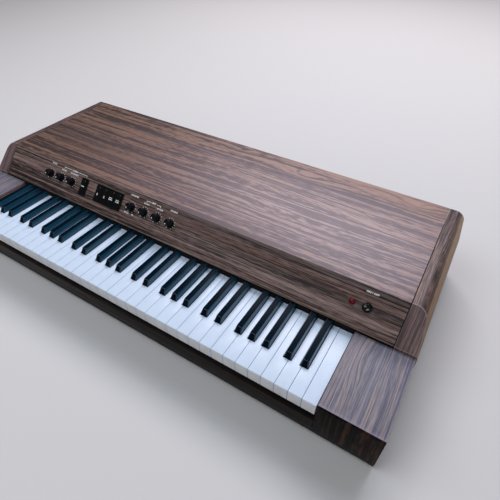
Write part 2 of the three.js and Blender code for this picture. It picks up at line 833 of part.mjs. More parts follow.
function addCabinet() {
  instrument.add(
    piece('bottom_board', bottomBoard(), 'blackBoard'),
    piece('top_cover', topCover(), 'walnut'),
    piece('rear_panel', rearPanel(), 'blackBoard'),
    piece('right_end_cap', endCap(), 'walnut'),
    piece('left_end_cap', mirrored(endCap()), 'walnut'),
    piece('right_cheek_block', cheekBlock(), 'walnut'),
    piece('left_cheek_block', mirrored(cheekBlock()), 'walnut'),
    piece('key_slip', keySlip(), 'walnutDark'),
    piece('jack_plate', jackPlate(), 'steel'),
    piece('power_inlet', powerInlet(), 'blackPlastic'),
    piece('main_circuit_board', mainCircuitBoard(), 'circuit'),
    piece('transformer', transformer(), 'steel'),
  );
}

function addFeet() {
  const places = { front: footEndInset, rear: caseDepth - footEndInset };
  for (const [row, y] of Object.entries(places)) {
    for (const [side, sign] of [['left', -1], ['right', 1]]) {
      const rubberFoot = piece(`${row}_${side}_foot`, foot(), 'rubber');
      rubberFoot.position.set(sign * (caseHalf - footSideInset), y, 0);
      instrument.add(rubberFoot);
    }
  }
}

function addKeyboard() {
  const keyboard = new THREE.Group();
  keyboard.position.set(0, keySetback, keyTopHeight);
  keyboard.add(
    piece('pivot_rail', pivotRail(), 'rail'),
    piece('pivot_shaft', pivotShaft(), 'steel'),
    piece('front_rail', frontRail(), 'rail'),
    piece('nameboard_felt', nameboardFelt(), 'felt'),
    piece('contact_board', contactBoard(), 'circuit'),
  );
  const combCount = 4;
  for (let comb = 0; comb < combCount; comb += 1) {
    const first = comb * whitesPerOctave;
    const lastOfOctave = first + whitesPerOctave - 1;
    const last = comb === combCount - 1 ? lastOfOctave + 1 : lastOfOctave;
    const span = `f${comb + 1}_${letterOf(last)}${octaveOf(last)}`;
    keyboard.add(piece(`white_keys_${span}`, whiteComb(first, last), 'ivory'));
    keyboard.add(piece(`black_keys_f${comb + 1}_e${comb + 2}`, blackComb(first, lastOfOctave), 'ebony'));
  }
  const firstSingle = combCount * whitesPerOctave;
  for (let white = firstSingle; white < whiteCount; white += 1) {
    const letter = letterOf(white);
    const octave = octaveOf(white);
    if (white > firstSingle) {
      keyboard.add(piece(`key_${letter}${octave}`, whiteKey(white), 'ivory'));
    }
    if (blackAfter(white) !== null) {
      keyboard.add(piece(`key_${letter}_sharp${octave}`, blackKey(white), 'ebony'));
    }
  }
  instrument.add(keyboard);
}

function addPanel() {
  const panel = new THREE.Group();
  panel.position.set(0, panelFront, panelLowHeight);
  panel.rotation.x = slope;
  panel.add(
    piece('control_panel', controlPanel(), 'walnutDark'),
    piece('control_board', controlBoard(), 'circuit'),
  );
  knobPlaces.forEach((x, index) => {
    const turningKnob = piece(knobNames[index], knob(), 'blackPlastic');
    turningKnob.position.set(x, controlLine, 0);
    panel.add(turningKnob);
  });
  const bezels = [
    ['tremolo_rocker', soloBezelX, soloBezelWidth, soloHousingWidth, [0], soloRockerWidth],
    ['tone_rocker', toneBezelX, toneBezelWidth, toneHousingWidth, toneRockerPlaces, toneRockerWidth],
  ];
  for (const [name, x, flange, house, places, width] of bezels) {
    const bezel = piece(`${name}_bezel`, rockerBezel(flange, house, places, width), 'blackPlastic');
    bezel.position.set(x, controlLine, 0);
    panel.add(bezel);
    places.forEach((place, index) => {
      const rockerName = places.length > 1 ? `${name}_${index + 1}` : name;
      const tiltingRocker = piece(rockerName, rocker(width), 'blackPlastic');
      tiltingRocker.position.set(x + place, controlLine, -rockerPivotDrop);
      tiltingRocker.rotation.x = rockerTilt;
      panel.add(tiltingRocker);
    });
  }
  const powerPieces = [
    ['power_button_collar', powerX, powerCollar(), 'blackPlastic'],
    ['power_button', powerX, powerButton(), 'blackPlastic'],
    ['power_lamp_lens', lampX, lampLens(), 'lens'],
  ];
  for (const [name, x, solid, finish] of powerPieces) {
    const fitting = piece(name, solid, finish);
    fitting.position.set(x, controlLine, 0);
    panel.add(fitting);
  }
  instrument.add(panel);
}

addCabinet();
addFeet();
addKeyboard();
addPanel();

export default instrument;
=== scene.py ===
"""Looks of a 61-key electric piano in a wood-grained cabinet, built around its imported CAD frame.

Everything is in metres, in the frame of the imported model: X to the player's right, Y from the player
to the back, Z up, with the origin on the floor under the middle of the cabinet.
"""
import logging
import math
from collections.abc import Callable, Iterable, Iterator, Sequence
from dataclasses import dataclass, replace
from enum import Enum
from functools import cached_property

import bmesh
import bpy
from mathutils import Matrix, Vector

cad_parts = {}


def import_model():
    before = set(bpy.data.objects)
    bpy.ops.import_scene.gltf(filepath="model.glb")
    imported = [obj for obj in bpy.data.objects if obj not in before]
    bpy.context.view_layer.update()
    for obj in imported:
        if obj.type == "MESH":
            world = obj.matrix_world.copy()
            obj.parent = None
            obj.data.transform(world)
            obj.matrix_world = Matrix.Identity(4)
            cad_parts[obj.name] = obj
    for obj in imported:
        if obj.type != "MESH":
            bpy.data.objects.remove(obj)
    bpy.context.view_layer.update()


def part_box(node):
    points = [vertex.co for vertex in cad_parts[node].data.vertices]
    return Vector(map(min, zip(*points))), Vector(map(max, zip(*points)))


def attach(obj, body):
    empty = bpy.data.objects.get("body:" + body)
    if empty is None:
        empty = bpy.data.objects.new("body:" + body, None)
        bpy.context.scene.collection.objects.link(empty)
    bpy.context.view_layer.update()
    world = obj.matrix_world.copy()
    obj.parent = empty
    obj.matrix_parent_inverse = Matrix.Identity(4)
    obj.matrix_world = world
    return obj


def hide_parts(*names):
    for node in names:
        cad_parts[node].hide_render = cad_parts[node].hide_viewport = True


LOG = logging.getLogger("electric_piano")
MM = 0.001
CABINET = "cabinet"
PRINT_HEIGHT = 0.06 * MM
PRINT_WEIGHT = 0.055
PRINT_FACETS = 3
SAME_POINT = 1e-6
SAME_PLANE = 1e-7
FLAT_TURN = math.radians(0.5)
NOISE_MIDDLE = 0.5
RIGHT = (1, 0, 0)
FRONT = (0, -1, 0)
BACK = (0, 1, 0)
UP = (0, 0, 1)
ORIGIN = (0, 0, 0)
FACING_DOWN = Matrix.Rotation(math.pi, 4, "X")
FACING_BACK = Matrix.Rotation(math.pi, 4, "Z") @ Matrix.Rotation(math.pi / 2, 4, "X")

Triple = tuple[float, float, float]
Colour = Triple
Profile = tuple[tuple[float, float], ...]
Stops = tuple[tuple[float, Colour], ...]
FaceTest = Callable[[bpy.types.MeshPolygon], bool]


class Slot(Enum):
    """The record's material slots, one named for each new piece but not applied to it."""

    CASE = "walnut_case"
    PANEL = "walnut_panel"
    BOARD = "black_board"
    WHITE_KEY = "white_key_plastic"
    BLACK_KEY = "black_key_plastic"
    PLASTIC = "black_plastic"
    BUTTON = "button_plastic"
    LENS = "lamp_lens"
    RUBBER = "foot_rubber"
    STEEL = "steel"


class Shade:
    """A shader socket that takes part in Python arithmetic."""

    def __init__(self, tree: bpy.types.NodeTree, socket: bpy.types.NodeSocket) -> None:
        """Wraps one output socket of a node tree."""
        self.tree = tree
        self.socket = socket

    def math(self, operation: str, *values: "Shade | float") -> "Shade":
        """Adds a Math node.

        Args:
            operation: The node's operation.
            values: Its inputs in order, each a shade or a number.

        Returns:
            The node's value.
        """
        node = self.tree.nodes.new("ShaderNodeMath")
        node.operation = operation
        for socket, value in zip(node.inputs, values):
            plug(self.tree, socket, value)
        return Shade(self.tree, node.outputs[0])

    def __add__(self, other: "Shade | float") -> "Shade":
        """Returns the sum."""
        return self.math("ADD", self, other)

    def __sub__(self, other: "Shade | float") -> "Shade":
        """Returns the difference."""
        return self.math("SUBTRACT", self, other)

    def __rsub__(self, other: float) -> "Shade":
        """Returns a number less this shade."""
        return self.math("SUBTRACT", other, self)

    def __mul__(self, other: "Shade | float") -> "Shade":
        """Returns the product."""
        return self.math("MULTIPLY", self, other)

    __radd__, __rmul__ = __add__, __mul__

    def within(self, low: float, high: float) -> "Shade":
        """Makes a smooth step of the value.

        Args:
            low: The value up to which the step is 0.
            high: The value from which it is 1.

        Returns:
            The step.
        """
        node = self.tree.nodes.new("ShaderNodeMapRange")
        node.interpolation_type = "SMOOTHSTEP"
        for socket, value in zip(node.inputs, (self, low, high)):
            plug(self.tree, socket, value)
        return Shade(self.tree, node.outputs[0])


def plug(tree: bpy.types.NodeTree, socket: bpy.types.NodeSocket, value: object) -> None:
    """Links a shade to an input socket, or sets the socket to a plain value.

    Args:
        tree: The node tree that holds the socket.
        socket: The input socket.
        value: A Shade, a number, a vector or a colour without its alpha.
    """
    if isinstance(value, Shade):
        tree.links.new(value.socket, socket)
    elif isinstance(value, tuple) and socket.type == "RGBA":
        socket.default_value = (*value, 1.0)
    else:
        socket.default_value = value


class Recipe:
    """One material and the nodes that feed its shader."""

    def __init__(self, name: str) -> None:
        """Makes an empty material with a Principled shader.

        Args:
            name: The material's name.
        """
        self.material = bpy.data.materials.new(name)
        self.material.use_nodes = True
        self.tree = self.material.node_tree
        self.shader = self.tree.nodes["Principled BSDF"]

    def node(self, kind: str, settings: dict | None = None, inputs: dict | None = None,
             output: int | str = 0) -> Shade:
        """Adds any node.

        Args:
            kind: The node's type.
            settings: Its properties, set first; stops fills a colour ramp.
            inputs: Socket names or numbers, with their values or shades.
            output: The socket that is handed back.

        Returns:
            The chosen output as a shade.
        """
        node = self.tree.nodes.new(kind)
        for name, setting in (settings or {}).items():
            if name == "stops":
                self._fill(node.color_ramp, setting)
            else:
                setattr(node, name, setting)
        for name, value in (inputs or {}).items():
            plug(self.tree, node.inputs[name], value)
        return Shade(self.tree, node.outputs[output])

    @staticmethod
    def _fill(ramp: bpy.types.ColorRamp, stops: Stops) -> None:
        """Gives a colour ramp its stops.

        Args:
            ramp: The ramp.
            stops: The position and colour of each stop.
        """
        while len(ramp.elements) < len(stops):
            ramp.elements.new(1.0)
        for element, (position, colour) in zip(ramp.elements, stops):
            element.position = position
            element.color = (*colour, 1.0)

    def place(self) -> Shade:
        """Returns the point on the piece in metres."""
        return self.node("ShaderNodeTexCoord", output="Object")

    def along(self, place: Shade, direction: Triple) -> Shade:
        """Returns how far a point lies along a direction."""
        return self.node("ShaderNodeVectorMath", {"operation": "DOT_PRODUCT"}, {0: place, 1: direction},
                         output="Value")

    def joined(self, x: "Shade | float", y: "Shade | float", z: "Shade | float" = 0.0) -> Shade:
        """Returns a vector made of three values."""
        return self.node("ShaderNodeCombineXYZ", inputs={0: x, 1: y, 2: z})

    def noise(self, place: Shade, scale: float = 1.0, detail: float = 2.0,
              roughness: float = 0.5) -> Shade:
        """Returns smooth noise, mostly between 0.25 and 0.75."""
        return self.node("ShaderNodeTexNoise", inputs={
            "Vector": place, "Scale": scale, "Detail": detail, "Roughness": roughness})

    def mix(self, factor: "Shade | float", low: "Shade | Colour", high: "Shade | Colour",
            blend: str = "MIX") -> Shade:
        """Returns a blend of two colours."""
        return self.node("ShaderNodeMix", {"data_type": "RGBA", "blend_type": blend},
                         {0: factor, 6: low, 7: high}, output=2)

    def bump(self, height: Shade, strength: float, distance: float) -> None:
        """Gives the shader a bumpy normal.

        Args:
            height: The height, from 0 to 1.
            strength: How much of it counts.
            distance: The height in metres that 1 stands for.
        """
        normal = self.node("ShaderNodeBump", inputs={
            "Height": height, "Strength": strength, "Distance": distance})
        self.set(Normal=normal)

    def set(self, **sockets: object) -> None:
        """Sets the shader's sockets, named with _ for a space."""
        for name, value in sockets.items():
            plug(self.tree, self.shader.inputs[name.replace("_", " ")], value)


@dataclass(frozen=True)
class Spot:
    """A point of the wood in a material, in metres along and across the grain."""

    recipe: Recipe
    along: Shade
    across: Shade


@dataclass(frozen=True)
class Patch:
    """An oval area of the wood, in metres along and across the grain from the finish's origin."""

    along: float
    across: float
    length: float
    width: float

    def weight(self, spot: Spot) -> Shade:
        """Measures how much a point belongs to the area.

        Args:
            spot: The point of the wood.

        Returns:
            1 in the middle of the area, fading to 0 outside it.
        """
        right = (spot.along - self.along) * (1 / self.length)
        up = (spot.across - self.across) * (1 / self.width)
        far = right * right + up * up
        return far.math("EXPONENT", far * -1.0)


@dataclass(frozen=True)
class Figure(Patch):
    """A patch that pushes the grain aside by a distance, which draws an eye or a flame."""

    push: float


@dataclass(frozen=True)
class Tint(Patch):
    """A patch with a tint of its own."""

    colour: Colour
    strength: float


@dataclass(frozen=True)
class Layer:
    """Noise drawn out along the grain, in cells a metre along and across it.

    Its weight is how much it counts, and its marks lie where it is above the edge.
    """

    along: float
    across: float
    seed: float
    weight: float = 1.0
    detail: float = 1.0
    roughness: float = 0.5
    edge: tuple[float, float] = (0.0, 1.0)

    def noise(self, spot: Spot, seed: float, fineness: float = 1.0) -> Shade:
        """Reads the layer at a point.

        Args:
            spot: The point of the wood.
            seed: The finish's seed, which adds to the layer's own.
            fineness: How much finer the finish is across the grain.

        Returns:
            The noise.
        """
        across = spot.across * (self.across * fineness)
        place = spot.recipe.joined(spot.along * self.along, across, seed + self.seed)
        return spot.recipe.noise(place, detail=self.detail, roughness=self.roughness)


# The streaks of the wood, from wide bands to single fibres and the flecks on them
STREAKS = (
    Layer(0.8, 30.0, seed=1.0, weight=1.0),
    Layer(1.8, 92.0, seed=2.0, weight=1.6),
    Layer(5.0, 210.0, seed=3.0, weight=1.6),
    Layer(14.0, 330.0, seed=4.0, weight=0.7),
    Layer(46.0, 260.0, seed=6.0, weight=1.2, detail=2.0),
)
SLOW_WANDER = Layer(1.7, 7.0, seed=0.0, detail=2.0, roughness=0.4)
QUICK_WANDER = Layer(9.0, 60.0, seed=5.0, weight=1.6 * MM)
PORES = Layer(30.0, 520.0, seed=9.0, weight=0.12, edge=(0.56, 0.7))
DASHES = Layer(8.0, 230.0, seed=12.0, weight=0.38, edge=(0.54, 0.7))
COOL_BANDS = Layer(1.4, 60.0, seed=15.0, edge=(0.42, 0.6))
LINE_SWING = Layer(0.9, 16.0, seed=11.0, weight=3.0)
LINE_PARTS = Layer(2.6, 22.0, seed=13.0, edge=(0.42, 0.62))


@dataclass(frozen=True)
class WoodGrain:
    """Printed wood-grain vinyl: streaks, growth lines and pores that follow one wandering direction."""

    name: str
    along: Triple
    across: Triple
    origin: Triple
    tones: Stops
    fineness: float = 1.0
    contrast: float = 1.0
    wander: float = 8 * MM
    lines: float = 0.5
    lines_a_metre: float = 60.0
    line_edge: tuple[float, float] = (0.02, 0.11)
    cool: float = 0.55
    seed: float = 0.0
    roughness: float = 0.44
    pore_roughness: float = 0.1
    gloss: float = 1.0
    dark_coat: float = 0.25
    pale_coat: float = 0.8
    pale_tone: float = 0.8
    specular: float = 0.2
    figures: tuple[Figure, ...] = ()
    tints: tuple[Tint, ...] = ()

    def build(self) -> bpy.types.Material:
        """Returns the finished material."""
        recipe = Recipe(self.name)
        place = recipe.node("ShaderNodeVectorMath", {"operation": "SUBTRACT"},
                            {0: recipe.place(), 1: self.origin})
        straight = Spot(recipe, recipe.along(place, self.along), recipe.along(place, self.across))
        grain = self._grain(straight)
        pores = self._marks(grain, PORES)
        dashes = self._marks(grain, DASHES)
        tone = (self._streaks(grain) - self._lines(grain) * self.lines
                - pores * PORES.weight - dashes * DASHES.weight)
        colour = recipe.node("ShaderNodeValToRGB", {"stops": self.tones}, {0: tone})
        chill = self._marks(grain, COOL_BANDS) * self.cool
        colour = recipe.mix(chill, colour, recipe.mix(1.0, colour, CHILL, "MULTIPLY"))
        for tint in self.tints:
            colour = recipe.mix(tint.weight(straight) * tint.strength, colour, tint.colour)
        rough = pores * self.pore_roughness + (self.roughness + self.pore_roughness / 2)
        coat = tone.within(0.0, self.pale_tone) * (self.pale_coat - self.dark_coat) + self.dark_coat
        recipe.set(Base_Color=colour, Roughness=rough, Coat_Weight=coat * self.gloss,
                   Coat_Roughness=self.roughness, Specular_IOR_Level=self.specular)
        return recipe.material

    def _noise(self, grain: Spot, layer: Layer) -> Shade:
        """Returns a layer's noise with this finish's seed and fineness."""
        return layer.noise(grain, self.seed, self.fineness)

    def _marks(self, grain: Spot, layer: Layer) -> Shade:
        """Returns 1 on a layer's marks and 0 between them."""
        return self._noise(grain, layer).within(*layer.edge)

    def _grain(self, straight: Spot) -> Spot:
        """Lets the grain wander and pushes it aside.

        Args:
            straight: The point in straight grain.

        Returns:
            The point in wandering grain.
        """
        slow = SLOW_WANDER.noise(straight, self.seed) - NOISE_MIDDLE
        quick = QUICK_WANDER.noise(straight, self.seed) - NOISE_MIDDLE
        across = straight.across + slow * self.wander + quick * (QUICK_WANDER.weight / self.fineness)
        for figure in self.figures:
            across = across + figure.weight(straight) * figure.push
        return Spot(straight.recipe, straight.along, across)

    def _streaks(self, grain: Spot) -> Shade:
        """Returns the tone of the streaks, from wide bands to single fibres, about 0.5 in the middle."""
        mixed = sum(self._noise(grain, layer) * layer.weight for layer in STREAKS)
        middle = sum(layer.weight for layer in STREAKS) * NOISE_MIDDLE
        return (mixed - middle) * self.contrast + 0.5

    def _lines(self, grain: Spot) -> Shade:
        """Draws thin dark growth lines that fade in and out.

        Args:
            grain: The point in wandering grain.

        Returns:
            1 on a line and 0 between lines.
        """
        swing = self._noise(grain, LINE_SWING) * LINE_SWING.weight
        cycle = grain.across * (self.lines_a_metre * self.fineness) + swing
        off = cycle.math("PINGPONG", cycle, 0.5)
        return (1.0 - off.within(*self.line_edge)) * self._marks(grain, LINE_PARTS)


def shaded(colour: Colour, share: float, lift: float = 0.0) -> Colour:
    """Returns a colour times a share, lifted by an even grey."""
    return tuple(channel * share + lift for channel in colour)


@dataclass(frozen=True)
class Plastic:
    """Moulded plastic with a faint uneven gloss; its patterns are in cells a metre."""

    name: str
    colour: Colour
    roughness: float
    coat: float = 0.0
    wear: float = 0.06
    grain: float = 0.0
    gloss: float = 0.5
    coat_roughness: float = 0.08
    clouds: float = 60.0
    cloud_edge: tuple[float, float] = (0.3, 0.7)
    cloud_dulls: float = 0.08
    scuffs: float = 900.0
    scuff_dulls: float = 0.06
    pits: float = 2600.0
    pit_depth: float = 0.06 * MM

    def build(self) -> bpy.types.Material:
        """Returns the finished material."""
        recipe = Recipe(self.name)
        cloud = recipe.noise(recipe.place(), self.clouds, detail=3.0)
        scuffs = recipe.noise(recipe.place(), self.scuffs)
        worn = shaded(self.colour, 1 - 2 * self.wear)
        least = self.roughness - (self.cloud_dulls + self.scuff_dulls) / 2
        recipe.set(Base_Color=recipe.mix(cloud.within(*self.cloud_edge), worn, self.colour),
                   Roughness=cloud * self.cloud_dulls + scuffs * self.scuff_dulls + least,
                   Coat_Weight=self.coat, Coat_Roughness=self.coat_roughness, Specular_IOR_Level=self.gloss)
        if self.grain:
            pits = recipe.noise(recipe.place(), self.pits, detail=1.0)
            recipe.bump(pits, self.grain, self.pit_depth)
        return recipe.material


@dataclass(frozen=True)
class Metal:
    """Bare or plated metal, brushed along one direction."""

    name: str
    colour: Colour
    roughness: float
    brush: Triple = (1.0, 40.0, 40.0)
    scratches: float = 60.0
    scratch_dulls: float = 0.2
    dull_share: float = 0.8

    def build(self) -> bpy.types.Material:
        """Returns the finished material."""
        recipe = Recipe(self.name)
        stretched = recipe.node("ShaderNodeVectorMath", {"operation": "MULTIPLY"},
                                {0: recipe.place(), 1: self.brush})
        lines = recipe.noise(stretched, self.scratches, detail=3.0)
        dull = shaded(self.colour, self.dull_share)
        recipe.set(Base_Color=recipe.mix(lines, dull, self.colour), Metallic=1.0,
                   Roughness=lines * self.scratch_dulls + (self.roughness - self.scratch_dulls / 2))
        return recipe.material


@dataclass(frozen=True)
class Fibre:
    """Felt, rubber or painted board: matte, with a fine uneven surface in cells a metre."""

    name: str
    colour: Colour
    roughness: float
    scale: float
    depth: float
    clouds: float = 14.0
    cloud_share: float = 0.3
    fleck: float = 0.3
    lift: float = 0.002
    relief: float = 0.6
    gloss: float = 0.2

    def build(self) -> bpy.types.Material:
        """Returns the finished material."""
        recipe = Recipe(self.name)
        fuzz = recipe.noise(recipe.place(), self.scale, detail=4.0, roughness=0.65)
        cloud = recipe.noise(recipe.place(), self.clouds)
        lighter = shaded(self.colour, 1 + self.fleck, self.lift)
        darker = shaded(self.colour, 1 - self.fleck)
        mixed = fuzz * (1 - self.cloud_share) + cloud * self.cloud_share
        recipe.set(Base_Color=recipe.mix(mixed, darker, lighter), Roughness=self.roughness,
                   Specular_IOR_Level=self.gloss)
        recipe.bump(fuzz, self.relief, self.depth)
        return recipe.material


@dataclass(frozen=True)
class Circuit:
    """A green circuit board with copper lines; its pattern is in cells a metre."""

    name: str
    board: Colour = (0.03, 0.12, 0.05)
    copper: Colour = (0.09, 0.24, 0.1)
    scale: float = 90.0
    line: float = 0.06
    blur: float = 0.1
    roughness: float = 0.45

    def build(self) -> bpy.types.Material:
        """Returns the finished material."""
        recipe = Recipe(self.name)
        tracks = recipe.node("ShaderNodeTexBrick", inputs={
            "Vector": recipe.place(), "Scale": self.scale, "Mortar Size": self.line,
            "Mortar Smooth": self.blur, "Color1": self.board, "Color2": self.board,
            "Mortar": self.copper}, output="Color")
        recipe.set(Base_Color=tracks, Roughness=self.roughness)
        return recipe.material


CHILL = (0.78, 0.94, 1.22)
BLUE_GREY = (0.026, 0.025, 0.032)
ROSEWOOD = (
    (0.0, (0.018, 0.011, 0.010)),
    (0.2, (0.048, 0.025, 0.018)),
    (0.45, (0.120, 0.057, 0.035)),
    (0.75, (0.190, 0.093, 0.053)),
    (1.0, (0.290, 0.155, 0.090)),
)
DARK_ROSEWOOD = (
    (0.0, (0.012, 0.008, 0.009)),
    (0.25, (0.058, 0.034, 0.032)),
    (0.5, (0.158, 0.098, 0.085)),
    (0.8, (0.235, 0.154, 0.134)),
    (1.0, (0.330, 0.228, 0.202)),
)
RED_ROSEWOOD = (
    (0.0, (0.018, 0.014, 0.018)),
    (0.3, (0.062, 0.040, 0.042)),
    (0.55, (0.170, 0.096, 0.086)),
    (0.8, (0.245, 0.152, 0.132)),
    (1.0, (0.320, 0.212, 0.184)),
)
# Bluish pale rosewood of the cheek tops: a print with a painted sky reflection in its blue-grey and pale
# tones.
SKY_SHEEN_ROSEWOOD = (
    (0.0, (0.090, 0.092, 0.136)),
    (0.35, (0.144, 0.138, 0.182)),
    (0.65, (0.225, 0.190, 0.204)),
    (1.0, (0.330, 0.258, 0.240)),
)
# Near-black rosewood for the fronts of the cheeks and the slip: the print darkened as painted shade.
PAINTED_SHADE_ROSEWOOD = (
    (0.0, (0.005, 0.004, 0.004)),
    (0.5, (0.012, 0.008, 0.007)),
    (1.0, (0.065, 0.030, 0.018)),
)
# Tan print of the end caps' outer sides, lightened and warmed as a painted warm reflection.
TAN_SIDE_WARM_REFLECTION = (
    (0.0, (0.130, 0.078, 0.045)),
    (0.4, (0.275, 0.168, 0.098)),
    (1.0, (0.400, 0.265, 0.160)),
)
BEECH = (
    (0.0, (0.30, 0.19, 0.10)),
    (0.5, (0.46, 0.32, 0.18)),
    (1.0, (0.60, 0.44, 0.28)),
)


@dataclass(frozen=True)
class PanelPlane:
    """The sloped face of the control panel, with its own frame: X, Y up the slope and Z out of it."""

    run: float = 51.4 * MM
    rise: float = 56 * MM
    control_line: float = 41.5 * MM

    @property
    def angle(self) -> float:
        """The slope in radians."""
        return math.atan2(self.rise, self.run)

    @cached_property
    def foot(self) -> Vector:
        """The middle of the face's lower edge."""
        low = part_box("control_panel")[0]
        return Vector((0.0, low.y, low.z))

    @cached_property
    def crease(self) -> Vector:
        """The middle of the face's upper edge."""
        return self.at(0, math.hypot(self.run, self.rise)).translation

    @cached_property
    def outward(self) -> Vector:
        """The direction out of the face."""
        return self.at(0, 0).to_3x3() @ Vector(UP)

    @cached_property
    def uphill(self) -> Triple:
        """The direction up the face."""
        return 0.0, math.cos(self.angle), math.sin(self.angle)

    def at(self, x: float, up: float, out: float = 0.0) -> Matrix:
        """Returns the frame of a place on the face, x metres right, up the slope and out of it."""
        turn = Matrix.Rotation(self.angle, 4, "X")
        return Matrix.Translation(self.foot) @ turn @ Matrix.Translation((x, up, out))

    def control(self, node: str, out: float = 0.0) -> Matrix:
        """Returns the frame of the face under a control, on the line that they share."""
        low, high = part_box(node)
        return self.at((low.x + high.x) / 2, self.control_line, out)


PANEL = PanelPlane()


class Finishes:
    """Every material of the instrument, built once."""

    def __init__(self) -> None:
        """Builds the materials."""
        self._flat_wood()
        self._end_wood()
        self._plastics()
        self._others()

    def _flat_wood(self) -> None:
        """Builds the wood prints of the lid, the panel and the slip, with the figures seen on them."""
        self.top = WoodGrain(
            "printed_rosewood_top", RIGHT, BACK, ORIGIN, ROSEWOOD, contrast=2.7, cool=0.25, lines=0.9,
            seed=2.0,
            figures=(
                Figure(0.180, 0.203, 0.060, 0.014, 0.018), Figure(0.001, 0.224, 0.035, 0.010, 0.011),
                Figure(-0.060, 0.028, 0.080, 0.012, 0.010), Figure(-0.299, 0.061, 0.022, 0.008, 0.008),
                Figure(-0.141, 0.018, 0.025, 0.008, 0.007), Figure(-0.392, 0.174, 0.050, 0.010, 0.010),
                Figure(-0.434, 0.240, 0.050, 0.010, -0.010), Figure(0.422, 0.222, 0.050, 0.012, 0.014),
                Figure(0.250, 0.050, 0.150, 0.014, 0.012), Figure(0.100, 0.120, 0.200, 0.016, -0.012),
            ),
            tints=(
                Tint(0.43, 0.225, 0.12, 0.022, (0.46, 0.26, 0.14), 0.4),
                Tint(-0.40, 0.065, 0.17, 0.035, (0.035, 0.026, 0.026), 0.5),
                Tint(0.12, 0.172, 0.46, 0.008, (0.050, 0.040, 0.050), 0.6),
                Tint(-0.10, -0.005, 0.32, 0.0022, (0.025, 0.020, 0.022), 0.7),
                Tint(-0.30, 0.028, 0.20, 0.006, (0.30, 0.17, 0.11), 0.4),
                Tint(-0.299, 0.060, 0.018, 0.006, (0.025, 0.016, 0.018), 0.6),
                # Painted sheen: a broad pale lavender wash over the right half of the lid.
                Tint(0.34, 0.060, 0.62, 0.240, (0.310, 0.240, 0.292), 0.60),
                # Painted shade: a broad darkening over the left end of the lid.
                Tint(-0.44, 0.060, 0.40, 0.300, (0.030, 0.016, 0.012), 0.42),
                Tint(0.001, 0.222, 0.022, 0.004, (0.030, 0.024, 0.030), 0.5),
            ),
        ).build()
        self.panel = WoodGrain(
            "printed_rosewood_panel", RIGHT, PANEL.uphill, tuple(PANEL.foot), DARK_ROSEWOOD,
            fineness=1.6, contrast=0.95, wander=4 * MM, cool=0.15, seed=11.0, roughness=0.42,
            tints=(
                Tint(0.3, 0.071, 0.6, 0.0045, BLUE_GREY, 0.6),
                Tint(0.38, 0.040, 0.20, 0.0045, BLUE_GREY, 0.55),
                Tint(0.1, 0.0, 3.0, 0.0014, (0.24, 0.17, 0.10), 0.6),
            ),
        ).build()
        # The slip's print is darkened as painted shade.
        self.slip = WoodGrain(
            "printed_rosewood_slip_painted_shade", RIGHT, UP, (0, 0, 0.03), PAINTED_SHADE_ROSEWOOD, fineness=1.5,
            contrast=0.45, wander=6 * MM, seed=61.0, gloss=0.1, specular=0.1,
        ).build()
        self.back_end = WoodGrain(
            "printed_rosewood_back_end", UP, RIGHT, (0.5, 0, 0), DARK_ROSEWOOD, fineness=1.5,
            wander=6 * MM, seed=81.0,
        ).build()

    def _end_wood(self) -> None:
        """Builds the wood prints of the end caps and cheek blocks, each side with a grain of its own."""
        cap = WoodGrain(
            "printed_rosewood_end", BACK, (1, 0, -0.8), (0.5077, 0, 0.155), RED_ROSEWOOD,
            fineness=1.5, contrast=0.75, wander=5 * MM, seed=21.0, gloss=0.35,
            figures=(Figure(0.02, -0.004, 0.09, 0.006, 0.009),),
            tints=(Tint(0.1, 0.0075, 0.8, 0.0014, (0.022, 0.015, 0.014), 0.8),),
        )
        # The slope is the cap's print evenly lifted lighter and pinker than the top: painted light.
        slope = replace(cap, name="printed_rosewood_end_slope", along=PANEL.uphill, across=RIGHT,
                        fineness=2.1, gloss=1.0, lines=0.25, figures=(),
                        tints=(Tint(0.0, 0.0, 3.0, 3.0, (0.280, 0.190, 0.200), 0.22),))
        # The outer sides: a tan print, partly a painted warm reflection.
        side = WoodGrain(
            "printed_rosewood_side_warm_reflection", BACK, UP, (0.52, 0, 0.1), TAN_SIDE_WARM_REFLECTION, contrast=0.5, lines=0.15,
            cool=0.0, seed=31.0, gloss=0.2, specular=0.1,
        )
        # The cheek tops' bluish tones are partly a painted sky reflection.
        cheek = WoodGrain(
            "printed_rosewood_cheek", BACK, RIGHT, (0.475, -0.17, 0), SKY_SHEEN_ROSEWOOD, fineness=2.0,
            contrast=0.9, wander=4 * MM, lines=0.2, cool=0.35, seed=41.0, gloss=0.35,
            figures=(Figure(0.035, -0.026, 0.060, 0.013, 0.011), Figure(-0.04, 0.030, 0.08, 0.010, -0.006)),
            tints=(
                Tint(0.02, 0.004, 0.20, 0.0035, (0.105, 0.125, 0.200), 0.5),
                # Painted highlight along the rounded front edge of the cheek top.
                Tint(-0.0795, 0.0, 0.0040, 3.0, (0.480, 0.410, 0.530), 0.9),
            ),
        )
